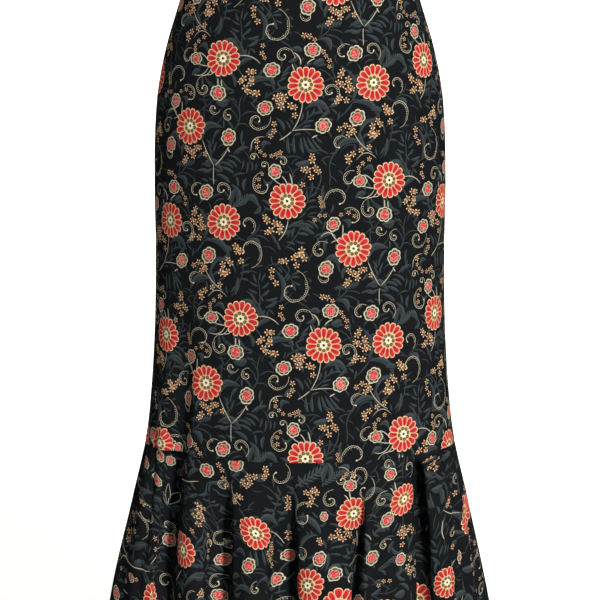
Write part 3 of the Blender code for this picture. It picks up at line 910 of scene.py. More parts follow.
def fromMiddle(add, x, y):
    # (x * x + y * y) ** 0.5
    return add("Math:SQRT", add("Math:ADD", add("Math:MULTIPLY", x, x), add("Math:MULTIPLY", y, y)))


daisy = {
    "petals": 15,
    "petalMiddle": (13.9, 2.0),  # a petal's middle: its least distance out, and what its lot adds
    "halfLength": 6.6,
    "halfWidth": (3.12, 0.19),  # at its middle, and gained by each millimetre outwards
    "boxiness": 2.5,  # the power that draws it: 2 is an ellipse
    "paleRim": 0.86,  # the share of a petal inside its rim
    "darkRim": 0.93,
    "heart": 10.6,  # radius inside which no ground shows
    "redFrom": 7.6,
    "reds": ("#a81c25", "#c93a37"),  # at the petal's foot and at its tip
    "redSpan": (-6.0, 5.0),
    "vein": ("#9b1820", 0.45),
    "khaki": ("#b39c68", 8.3, 0.75),  # colour, radius, strength
    "dots": {"count": 8, "at": 6.5, "rim": ("#352f20", 1.95), "core": ("#7b6f47", 1.1)},
    "disc": ("#e9dec0", 4.3, 0.45),  # colour, radius, depth of its lobes
    "eye": ("#38372e", 1.6),
}


def drawDaisy():
    # petals are boxed eggs, each cut out of its slice of the turn; a ring of dots, a pale lobed disc;
    # the tag, times any odd number, turns each flower and varies its petals
    tree, add, x, y, tag, dark, light = startGroup("daisyDrawing")
    r = fromMiddle(add, x, y)
    angle = add("Math:ARCTAN2", y, x)
    petals = daisy["petals"]
    slices = add("Math:MULTIPLY_ADD", angle, petals / turn, add("Math:MULTIPLY", tag, 7.3))
    cell = add("Math:FLOORED_MODULO", add("Math:FLOOR", slices), float(petals))
    lot = add("TexWhiteNoise", None, add("Math:MULTIPLY_ADD", tag, 31.0, cell), noise_dimensions="1D")
    off = add("Math:MULTIPLY", add("Math:SUBTRACT", add("Math:FRACT", slices), 0.5), turn / petals)
    least, spread = daisy["petalMiddle"]
    along = add("Math:SUBTRACT", add("Math:MULTIPLY", r, add("Math:COSINE", off)),
                add("Math:MULTIPLY_ADD", lot, spread, least))
    side = add("Math:MULTIPLY", r, add("Math:SINE", off))
    halfWidth, gain = daisy["halfWidth"]
    wide = add("Math:MULTIPLY_ADD", along, gain, halfWidth)
    boxy = [add("Math:POWER", add("Math:ABSOLUTE", add("Math:DIVIDE", part, size)), daisy["boxiness"])
            for part, size in ((along, daisy["halfLength"]), (side, wide))]
    petal = add("Math:POWER", add("Math:ADD", *boxy), 1 / daisy["boxiness"])
    outline = add("Math:MAXIMUM", below(add, petal, 1.0, 0.05), below(add, r, daisy["heart"], 0.3))
    colour = add("MixRGB", below(add, petal, daisy["darkRim"], 0.1), dark, light)
    # the red is deeper at the petal's foot and along its middle vein
    veinColour, veinShare = daisy["vein"]
    vein = add("Math:MULTIPLY", below(add, add("Math:ABSOLUTE", side), 0.5, 0.5), veinShare)
    tone = add("MapRange", along, *daisy["redSpan"], 0.0, 1.0)
    red = add("MixRGB", tone, *[linear(shade) for shade in daisy["reds"]])
    red = add("MixRGB", vein, red, linear(veinColour))
    fill = add("Math:MULTIPLY", below(add, petal, daisy["paleRim"], 0.05),
               below(add, daisy["redFrom"], r, 0.4))
    colour = add("MixRGB", fill, colour, red)
    # middle: a khaki ring with dark rings of dots, a lobed pale disc and a dark point
    dots = daisy["dots"]
    eighth = add("Math:MULTIPLY_ADD", angle, dots["count"] / turn, add("Math:MULTIPLY", tag, 5.7))
    dotOff = add("Math:MULTIPLY", add("Math:SUBTRACT", add("Math:FRACT", eighth), 0.5), turn / dots["count"])
    dot = add("VectorMath:LENGTH", add("CombineXYZ",
              add("Math:SUBTRACT", add("Math:MULTIPLY", r, add("Math:COSINE", dotOff)), dots["at"]),
              add("Math:MULTIPLY", r, add("Math:SINE", dotOff)), 0.0), out=1)
    khaki, khakiReach, khakiShare = daisy["khaki"]
    ring = add("Math:MULTIPLY", below(add, r, khakiReach, 0.4), khakiShare)
    colour = add("MixRGB", ring, colour, linear(khaki))
    for shade, reach in (dots["rim"], dots["core"]):
        colour = add("MixRGB", below(add, dot, reach, 0.25), colour, linear(shade))
    pale, discReach, lobes = daisy["disc"]
    lobe = add("Math:MULTIPLY_ADD", add("Math:COSINE", add("Math:MULTIPLY", eighth, turn)), lobes, discReach)
    colour = add("MixRGB", below(add, r, lobe, 0.25), colour, linear(pale))
    eye, eyeReach = daisy["eye"]
    colour = add("MixRGB", below(add, r, eyeReach, 0.2), colour, linear(eye))
    add("NodeGroupOutput", colour, outline)
    return tree


blossom = {
    "petals": 7,
    "notch": 0.7,  # the power that rounds the outline's bumps
    "edge": (8.1, 1.5, 0.75),  # least radius, what the bumps add, how far the whole is out of round
    "rimWidth": 1.15,
    "lobes": ("#33352c", 6.9, 0.8),  # colour, radius, half width
    "olive": ("#b9aa82", 5.8),
    "core": ("#a92431", "#d4595b", 5.15),  # the streaks' two colours, radius
    "heart": ("#cf3440", 2.9),
    "flecks": ("#e9a296", 4.4, 0.57),  # colour, radius, the noise over which they show
}


def drawBlossom():
    # outline: r under edge + bumps * |sin(7 a / 2)| ** notch; an olive ring with dark lobes, a pink core
    tree, add, x, y, tag, dark, light = startGroup("blossomDrawing")
    r = fromMiddle(add, x, y)
    angle = add("Math:MULTIPLY_ADD", add("Math:ARCTAN2", y, x), blossom["petals"] / 2,
                add("Math:MULTIPLY", tag, 9.0))
    bump = add("Math:POWER", add("Math:ABSOLUTE", add("Math:SINE", angle)), blossom["notch"])
    sway = add("Math:MULTIPLY_ADD", add("Math:ARCTAN2", y, x), 2.0, add("Math:MULTIPLY", tag, 25.0))
    sway = add("Math:SINE", sway)
    least, bumps, swaying = blossom["edge"]
    edge = add("Math:MULTIPLY_ADD", bump, bumps, add("Math:MULTIPLY_ADD", sway, swaying, least))
    cover = below(add, r, edge, 0.15)
    inner = below(add, r, add("Math:SUBTRACT", edge, blossom["rimWidth"]), 0.25)
    colour = add("MixRGB", inner, light, dark)
    lobeColour, lobeAt, lobeHalf = blossom["lobes"]
    fromLobe = add("Math:ABSOLUTE", add("Math:SUBTRACT", r, lobeAt))
    lobe = add("Math:MULTIPLY", below(add, fromLobe, lobeHalf, 0.3), below(add, 0.6, bump, 0.15))
    colour = add("MixRGB", lobe, colour, linear(lobeColour))
    olive, oliveReach = blossom["olive"]
    colour = add("MixRGB", below(add, r, oliveReach, 0.25), colour, linear(olive))
    deep, pink, coreReach = blossom["core"]
    streak = add("Math:MULTIPLY_ADD", add("Math:SINE", add("Math:MULTIPLY", angle, 6.0)), 0.3, 0.35)
    core = add("MixRGB", streak, linear(deep), linear(pink))
    heart, heartReach = blossom["heart"]
    core = add("MixRGB", below(add, r, heartReach, 0.5), core, linear(heart))
    colour = add("MixRGB", below(add, r, coreReach, 0.25), colour, core)
    # pale flecks in the core
    pale, fleckReach, fleckFrom = blossom["flecks"]
    fleck = add("TexNoise", add("CombineXYZ", x, y, add("Math:MULTIPLY", tag, 90.0)), None, 0.55, 1.0)
    fleck = add("Math:MULTIPLY", below(add, fleckFrom, fleck, 0.03), below(add, r, fleckReach, 0.4))
    colour = add("MixRGB", add("Math:MULTIPLY", fleck, 0.8), colour, linear(pale))
    add("NodeGroupOutput", colour, cover)
    return tree


floret = {
    "petals": 5,
    "petalMiddle": 2.65,
    "halfLength": 1.6,
    "halfWidth": 0.82,
    "heart": 0.95,
    "eye": ("#4a3421", 0.5),
}


def drawFloret():
    # small petals: ellipses, each in its slice of the turn, and a ringed eye
    tree, add, x, y, tag, dark, light = startGroup("floretDrawing")
    r = fromMiddle(add, x, y)
    petals = floret["petals"]
    slices = add("Math:MULTIPLY_ADD", add("Math:ARCTAN2", y, x), petals / turn, tag)
    off = add("Math:MULTIPLY", add("Math:SUBTRACT", add("Math:FRACT", slices), 0.5), turn / petals)
    along = add("Math:SUBTRACT", add("Math:MULTIPLY", r, add("Math:COSINE", off)), floret["petalMiddle"])
    side = add("Math:MULTIPLY", r, add("Math:SINE", off))
    petal = add("VectorMath:LENGTH", add("CombineXYZ", add("Math:DIVIDE", along, floret["halfLength"]),
                                         add("Math:DIVIDE", side, floret["halfWidth"]), 0.0), out=1)
    cover = add("Math:MAXIMUM", below(add, petal, 1.0, 0.12), below(add, r, floret["heart"], 0.12))
    colour = add("MixRGB", add("MapRange", along, -0.7, 1.1, 0.0, 1.0), dark, light)
    eye, eyeReach = floret["eye"]
    colour = add("MixRGB", below(add, r, eyeReach, 0.15), colour, linear(eye))
    add("NodeGroupOutput", colour, cover)
    return tree


curl = {
    "growth": 0.24,  # the arm is at 10 * exp(-growth * a), with a in radians wound from its open end
    "halfWidth": (0.17, 0.2),  # in millimetres at the open end, and what it gains to the eye
    "knob": 0.95,
    "beadPitch": 2.5,
    "beadInside": 1.95,  # the beads' distance inside the arm
    "beadRadius": 0.48,
    "beadSpan": (0.12, 0.72),  # shares of the arm between which it has beads
}


def drawCurl():
    # a spiral arm that winds to a knob, with a row of beads inside it; its box is 10 to the open end
    tree, add, x, y, tag, dark, light = startGroup("curlDrawing")
    growth, reach = curl["growth"], float(halfLine)
    wound = add("Math:FLOOR", tag)
    size = add("Math:MULTIPLY", add("Math:FRACT", tag), float(curlSizeShare))
    r = fromMiddle(add, x, y)
    angle = add("Math:ARCTAN2", y, x)
    phase = add("Math:DIVIDE", add("Math:LOGARITHM", add("Math:DIVIDE", reach, r), math.e), growth)
    laps = add("Math:ROUND", add("Math:DIVIDE", add("Math:SUBTRACT", phase, angle), turn))
    onArm = add("Math:MULTIPLY_ADD", laps, turn, angle)
    arm = add("Math:MULTIPLY", add("Math:EXPONENT", add("Math:MULTIPLY", onArm, -growth)), reach)
    off = add("Math:MULTIPLY", add("Math:SUBTRACT", r, arm), size)  # millimetres outside the arm
    share = add("Math:DIVIDE", onArm, wound)
    lasts = add("Math:MULTIPLY", below(add, 0.0, onArm, 0.03), below(add, share, 1.0, 0.02))
    thin, gain = curl["halfWidth"]
    width = add("Math:MULTIPLY_ADD", share, gain, thin)
    stroke = add("Math:MULTIPLY", below(add, add("Math:ABSOLUTE", off), width, 0.12), lasts)
    # the eye's knob
    last = add("Math:MULTIPLY", add("Math:EXPONENT", add("Math:MULTIPLY", wound, -growth)), reach)
    knobX = add("Math:SUBTRACT", x, add("Math:MULTIPLY", last, add("Math:COSINE", wound)))
    knobY = add("Math:SUBTRACT", y, add("Math:MULTIPLY", last, add("Math:SINE", wound)))
    knob = add("VectorMath:LENGTH", add("CombineXYZ", knobX, knobY, 0.0), out=1)
    knob = add("Math:MULTIPLY", knob, size)
    stroke = add("Math:MAXIMUM", stroke, below(add, knob, curl["knob"], 0.15))
    run = add("Math:DIVIDE", add("Math:MULTIPLY", arm, size), growth)  # length left to the spiral's eye
    beadRun = add("Math:SUBTRACT", add("Math:FRACT", add("Math:DIVIDE", run, curl["beadPitch"])), 0.5)
    beadRun = add("Math:MULTIPLY", beadRun, curl["beadPitch"])
    bead = add("CombineXYZ", beadRun, add("Math:ADD", off, curl["beadInside"]), 0.0)
    bead = add("VectorMath:LENGTH", bead, out=1)
    first, final = curl["beadSpan"]
    beads = add("Math:MULTIPLY", below(add, bead, curl["beadRadius"], 0.12),
                add("Math:MULTIPLY", below(add, first, share, 0.02), below(add, share, final, 0.02)))
    colour = add("MixRGB", add("MapRange", off, -0.6, 0.5, 0.0, 1.0), dark, light)
    colour = add("MixRGB", beads, colour, light)
    add("NodeGroupOutput", colour, add("Math:MAXIMUM", stroke, beads))
    return tree


def drawLine():
    # a bent stroke: |y - bend * (1 - x^2 / 100)| < (1 - (x / 10)^4)^0.5, thinner at its ends
    tree, add, x, y, tag, dark, light = startGroup("lineDrawing")
    square = add("Math:MULTIPLY", add("Math:MULTIPLY", x, x), 1 / halfLine**2)
    bent = add("Math:MULTIPLY", add("Math:SUBTRACT", 1.0, square), tag)
    bent = add("Math:MULTIPLY_ADD", bent, -1.0, y)
    taper = add("Math:SUBTRACT", 1.0, add("Math:MULTIPLY", square, square))
    taper = add("Math:SQRT", add("Math:MAXIMUM", taper, 0))
    cover = add("Math:MULTIPLY", below(add, add("Math:ABSOLUTE", bent), taper, 0.15),
                below(add, square, 1.0, 0.02))
    colour = add("MixRGB", add("MapRange", bent, -0.9, 0.5, 1.0, 0.0), dark, light)
    add("NodeGroupOutput", colour, cover)
    return tree


leaf = {
    "fullness": 0.6,  # the power of (1 - x^2 / 100) that gives the blade's half width
    "widening": (0.97, 0.03),  # at its middle, and gained by each unit towards its tip
    "shades": (0.95, 0.25),  # how light its upper and its lower edge are
    "rib": ("#192023", 0.12, 0.6),  # colour, where it lies and half its width, strength
    "rim": (0.05, 0.1),  # the ground shows round the blade: at least, and as a share of its half width
}


def drawLeaf():
    # a bent blade: |y - bend * (1 - x^2 / 100)| < (1 - (x / 10)^2)^0.6 * (0.97 + 0.03 x), with a dark rib
    tree, add, x, y, tag, dark, light = startGroup("leafDrawing")
    square = add("Math:MULTIPLY", add("Math:MULTIPLY", x, x), 1 / halfLine**2)
    rest = add("Math:MAXIMUM", add("Math:SUBTRACT", 1.0, square), 0.0)
    bent = add("Math:MULTIPLY_ADD", add("Math:MULTIPLY", rest, tag), -1.0, y)
    middle, gain = leaf["widening"]
    blade = add("Math:MULTIPLY", add("Math:POWER", rest, leaf["fullness"]),
                add("Math:MULTIPLY_ADD", x, gain, middle))
    cover = add("Math:MULTIPLY", below(add, add("Math:ABSOLUTE", bent), blade, 0.09),
                below(add, square, 1.0, 0.02))
    # bands along the blade: a light upper side, a dark rib, a duller lower side
    band = add("Math:DIVIDE", bent, add("Math:MAXIMUM", blade, 0.05))
    tone = add("MapRange", band, -0.9, 0.9, *leaf["shades"])
    ribColour, ribAt, ribShare = leaf["rib"]
    rib = below(add, add("Math:ABSOLUTE", add("Math:SUBTRACT", band, ribAt)), ribAt, 0.12)
    colour = add("MixRGB", tone, dark, light)
    colour = add("MixRGB", add("Math:MULTIPLY", rib, ribShare), colour, linear(ribColour))
    least, share = leaf["rim"]
    edge = add("Math:SUBTRACT", blade, add("Math:MULTIPLY_ADD", blade, share, least))
    inside = below(add, add("Math:ABSOLUTE", bent), edge, 0.06)
    colour = add("MixRGB", inside, linear(crepe["ground"]), colour)
    add("NodeGroupOutput", colour, cover)
    return tree


frond = {
    "pitch": 6.5,  # of the leaflets along the axis
    "apart": 4.6,  # from one leaflet to the next, measured square to them
    "lean": (0.7, 0.05),  # how far they slant forward: at the axis, and gained by each unit out
    "leafletLength": 8.6,
    "leafletWidth": 1.55,
    "axis": 1.2,
}


def drawFrond():
    # leaflets slant forward off an axis, staggered: t = x - |y| * (0.7 + 0.05 * |y|), in cells of 6.5;
    # each blade is sin(pi * along ** 0.75) wide
    tree, add, x, y, tag, dark, light = startGroup("frondDrawing")
    height = add("Math:ABSOLUTE", y)
    atAxis, gain = frond["lean"]
    slant = add("Math:MULTIPLY", height, add("Math:MULTIPLY_ADD", height, gain, atAxis))
    cells = add("Math:MULTIPLY_ADD", add("Math:GREATER_THAN", y, 0.0), 0.5,
                add("Math:DIVIDE", add("Math:SUBTRACT", x, slant), frond["pitch"]))
    cell = add("Math:MULTIPLY", add("Math:ADD", add("Math:FLOOR", cells), 0.5), frond["pitch"])
    off = add("Math:ABSOLUTE", add("Math:SUBTRACT", add("Math:FRACT", cells), 0.5))
    off = add("Math:MULTIPLY", off, frond["apart"])
    share = add("Math:DIVIDE", cell, tag)
    left = add("Math:SUBTRACT", 1.05, add("Math:MULTIPLY", share, share))
    length = add("Math:MULTIPLY", add("Math:SQRT", add("Math:MAXIMUM", left, 0.02)), frond["leafletLength"])
    along = add("Math:MINIMUM", add("Math:DIVIDE", height, length), 1.0)
    blade = add("Math:SINE", add("Math:MULTIPLY", add("Math:POWER", along, 0.75), math.pi))
    blade = add("Math:MULTIPLY", blade, frond["leafletWidth"])
    leaflet = add("Math:MULTIPLY", below(add, off, blade, 0.2),
                  below(add, add("Math:ABSOLUTE", share), 1.0, 0.02))
    leaflet = add("Math:MULTIPLY", leaflet, below(add, 0.25, blade, 0.1))
    axis = add("Math:MULTIPLY", below(add, height, frond["axis"], 0.3),
               below(add, add("Math:ABSOLUTE", x), tag, 0.1))
    colour = add("MixRGB", add("MapRange", add("Math:FRACT", cells), 0.2, 0.8, 0.0, 1.0), dark, light)
    add("NodeGroupOutput", colour, add("Math:MAXIMUM", leaflet, axis))
    return tree


drawings = {
    "daisies": drawDaisy(),
    "blossoms": drawBlossom(),
    "florets": drawFloret(),
    "curls": drawCurl(),
    "leaves": drawLeaf(),
    "fronds": drawFrond(),
}
drawings["stems"] = drawings["tendrils"] = drawLine()
print("motifs drawn")

# Materials


def startCloth(name, roughness, sheen):
    material = bpy.data.materials.new(name)
    material.use_nodes = True
    tree = material.node_tree
    shader = tree.nodes["Principled BSDF"]
    shader.inputs["Roughness"].default_value = roughness
    shader.inputs["Specular IOR Level"].default_value = 0.0
    shader.inputs["Sheen Weight"].default_value = sheen
    shader.inputs["Sheen Roughness"].default_value = 0.5
    return material, tree, shader


def crepeGrain(add, place):
    # pebbly crepe: fine cells, one thread's pitch apart; place is in millimetres
    return add("TexNoise", add("VectorMath:SCALE", place, None, None, 1 / crepe["threadPitch"]),
               None, 1.0, 2.0, 0.6, noise_dimensions="3D")


def makePrintedCrepe():
    # Printed polyester crepe, woven and heat-set: a matt, slightly pebbled face that scatters all its
    # light; the colours sit in the cloth, and the wrong side shows them greyed.
    material, tree, shader = startCloth("printedCrepe", crepe["roughness"], 0.0)
    add = partial(addNode, tree)
    place = add("Attribute", attribute_name="clothPlace", out=1)
    across, down, inside = add("SeparateXYZ", place).node.outputs
    flat = add("CombineXYZ", across, down, 0.0)
    stray = add("TexNoise", flat, None, crepe["wobbleScale"], 2.0, 0.5, out=1)
    stray = add("VectorMath:SCALE", add("VectorMath:SUBTRACT", stray, (0.5, 0.5, 0.5)), None, None,
                2 * crepe["wobble"])
    stray = add("VectorMath:MULTIPLY", stray, (1.0, 1.0, 0.0))
    mottle = add("TexNoise", flat, None, crepe["mottleScale"], 3.0, 0.6)
    colour = add("MixRGB", mottle, linear(crepe["ground"]), linear(crepe["groundLight"]))
    for kind, drawn in motifKinds.items():
        for i in range(drawn["layers"]):
            spot = add("Attribute", attribute_name=f"{kind}{i}", out=1)
            if kind in ("curls", "florets", "blossoms", "daisies"):
                spot = add("VectorMath:ADD", spot, stray)
            group = add("Group", spot, node_tree=drawings[kind]).node
            for socket, value in zip(group.inputs, (None, *motifColours[kind])):
                if value:
                    socket.default_value = linear(value)
            tree.links.new(spot, group.inputs[0])
            colour = add("MixRGB", group.outputs["Cover"], colour, group.outputs["Colour"])
    # colours dimmed to the cloth's level, with painted shade in the grain's hollows and painted light on its
    # tops
    grain = crepeGrain(add, flat)
    colour = add("VectorMath:SCALE", colour, None, None,
                 add("MapRange", grain, *crepe["grainSpan"], *crepe["grainPaintedShades"]))
    colour = add("MixRGB", add("Math:MULTIPLY", inside, crepe["wrongShare"]), colour,
                 linear(crepe["wrongSide"]))
    tree.links.new(colour, shader.inputs["Base Color"])
    bump = add("Bump", 0.35, crepe["grainHeight"] * mm, None, grain)
    tree.links.new(bump, shader.inputs["Normal"])
    return material


def makePlainCrepe(name, face, light):
    # Plain crepe of the same make, piece-dyed: as matt, with faint dye clouds, and lighter on its grain's
    # tops, a painted light on the pebbles.
    material, tree, shader = startCloth(name, crepe["roughness"], 0.0)
    add = partial(addNode, tree)
    place = add("VectorMath:SCALE", add("TexCoord", out=3), None, None, 1 / mm)
    cloud = add("TexNoise", place, None, crepe["dyeCloudScale"], 2.0, 0.5)
    grain = crepeGrain(add, place)
    # lighter where the grain stands up: painted light on its tops; the dye clouds are the cloth's own
    colour = add("MixRGB", add("Math:MULTIPLY_ADD", grain, 0.5, add("Math:MULTIPLY", cloud, 0.4)),
                 linear(face), linear(light))
    tree.links.new(colour, shader.inputs["Base Color"])
    bump = add("Bump", 0.4, crepe["grainHeight"] * mm, None, grain)
    tree.links.new(bump, shader.inputs["Normal"])
    return material


def makeThread(name, colour, light):
    # Spun polyester sewing thread: twisted, faintly glossy on its ridges.
    material, tree, shader = startCloth(name, 0.6, 0.2)
    add = partial(addNode, tree)
    place = add("VectorMath:SCALE", add("TexCoord", out=3), None, None, 1 / mm)
    twist = add("TexNoise", place, None, 2.0, 1.0)
    tree.links.new(add("MixRGB", twist, linear(colour), linear(light)), shader.inputs["Base Color"])
    return material


printedCrepe = makePrintedCrepe()
bandCrepe = makePlainCrepe("bandCrepe", "#121517", "#1d2124")
allowanceCrepe = makePlainCrepe("allowanceCrepe", "#17191b", "#26292c")
blackThread = makeThread("blackThread", "#0e0f10", "#2b2d30")
print("materials made")

# Cloth panels


def clothPanel(name, node, middle, top, bottom, motifs):
    # angle and height on a grid, outer face and inner face, joined round their edges into one wall
    levels = spacedWithEdges(top - bottom)
    height = (top + (bottom - top) * levels)[:, None]
    # shares of the girth turned into angles, so that faces are about equally wide
    gathered = top <= flounceSeam
    probe = np.linspace(middle - 90, middle + 90, form["girthSteps"] + 1)
    girths = []
    for share in form["flounceGirthAt"] if gathered else form["panelGirthAt"]:
        level = np.full_like(probe, top + share * (bottom - top))
        px, py = ringAt(probe, level)
        deep = gatherPress(probe, flounceSeam - level, full=True) if gathered else np.zeros_like(probe)
        girths.append(np.sqrt(np.diff(px) ** 2 + np.diff(py) ** 2 + np.diff(deep) ** 2))
    steps = np.mean(girths, axis=0)
    girth = steps.sum()
    walked = np.concatenate([[0], np.cumsum(steps)]) / girth
    shares = np.interp(spacedWithEdges(girth), walked, np.linspace(0, 1, probe.size))
    _, front, back = sectionAt(height)
    short = np.degrees(form["seamGap"] / 2 / (front if middle == 0 else back))
    angle = (middle - 90 + short) + (180 - 2 * short) * shares[None, :]
    height = np.broadcast_to(height, angle.shape)

    x, y = ringAt(angle, height)
    z = clothDrop(angle, height)
    # the print runs on through the gathers, which at the seam are bunched up small
    deep = gatherPress(angle, flounceSeam - height, full=True) * gathered
    step = np.sqrt(sum(np.diff(part, axis=1) ** 2 for part in (x, y, z, deep)))
    across = np.concatenate([np.zeros((len(x), 1)), np.cumsum(step, axis=1)], axis=1)
    centre = np.array([np.interp(middle, angle[i], across[i]) for i in range(len(x))])
    edgeDistance = np.minimum(across, across[:, -1:] - across)
    across = (across - centre[:, None]) / mm
    if top > flounceSeam:
        midY = np.array([np.interp(middle, angle[i], y[i]) for i in range(len(x))])
        run = np.concatenate([[0], np.cumsum(np.hypot(np.diff(midY), np.diff(height[:, 0])))])
    else:
        run = top - height[:, 0]
    down = np.broadcast_to(run[:, None] / mm, across.shape)
    seamDistance = np.minimum(run, run[-1] - run)[:, None] if top > flounceSeam else run[:, None]

    dip = np.exp(-((edgeDistance / mm / form["stitchReach"]) ** 2))
    dip = np.maximum(dip, np.exp(-((seamDistance / mm / form["stitchReach"]) ** 2)))
    outer = skirtPoint(angle, height, -form["stitchDip"] * dip)
    inner = outer - form["clothThickness"] * gridNormals(outer)

    rows, columns = across.shape
    parts = wallQuads(rows, columns)
    quads = np.concatenate(parts)
    points = np.concatenate([outer.reshape(-1, 3), inner.reshape(-1, 3)])
    piece = meshPiece(name, points, quads, printedCrepe, "printed_cloth")

    outerCorners, innerCorners, *rimCorners = (part.size for part in parts)
    blank = np.full((sum(rimCorners), 3), farAway, np.float32)
    for attribute, places in layMotifs(across, down, motifs).items():
        faces = places.reshape(-1, 4, 3)
        values = np.concatenate([faces.reshape(-1, 3), faces[:, ::-1].reshape(-1, 3), blank])
        addCornerVectors(piece, attribute, values)
    # how far inside: 0 on the face, 1 on the wrong side, a half on the rims
    inside = np.repeat((0.0, 1.0, 0.5), (outerCorners, innerCorners, sum(rimCorners)))
    vertex = quads.ravel() % across.size
    values = np.stack([across.ravel()[vertex], down.ravel()[vertex], inside], -1)
    addCornerVectors(piece, "clothPlace", values)
    addBakeMap(piece, rows, columns, parts)
    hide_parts(node)
    print(name, "spans", round(across.min()), "to", round(across.max()), "mm of cloth")
    return piece


# For each part of a wall, across the map and up it: where it starts, how far it goes, and by what.
# The outer face takes most of the map, the inner face a strip, and each rim a thin band.
bakeSpans = (
    ((0.01, 0.77, "across"), (0.03, 0.94, "up")),
    ((0.81, 0.15, "across"), (0.03, 0.94, "up")),
    ((0.01, 0.95, "across"), (0.985, 0.01, "behind")),
    ((0.01, 0.95, "across"), (0.005, 0.01, "behind")),
    ((0.787, 0.012, "behind"), (0.03, 0.94, "up")),
    ((0.977, 0.012, "behind"), (0.03, 0.94, "up")),
)


def addBakeMap(piece, rows, columns, parts):
    places = []
    for quads, spans in zip(parts, bakeSpans):
        side, vertex = np.divmod(quads, rows * columns)
        r, c = np.divmod(vertex, columns)
        shares = {"across": c / (columns - 1), "up": 1 - r / (rows - 1), "behind": side}
        places.append(np.stack([start + length * shares[way] for start, length, way in spans], -1))
    uvMap = piece.data.uv_layers.new(name="OFBake")
    uvMap.data.foreach_set("uv", np.concatenate(places).astype(np.float32).ravel())


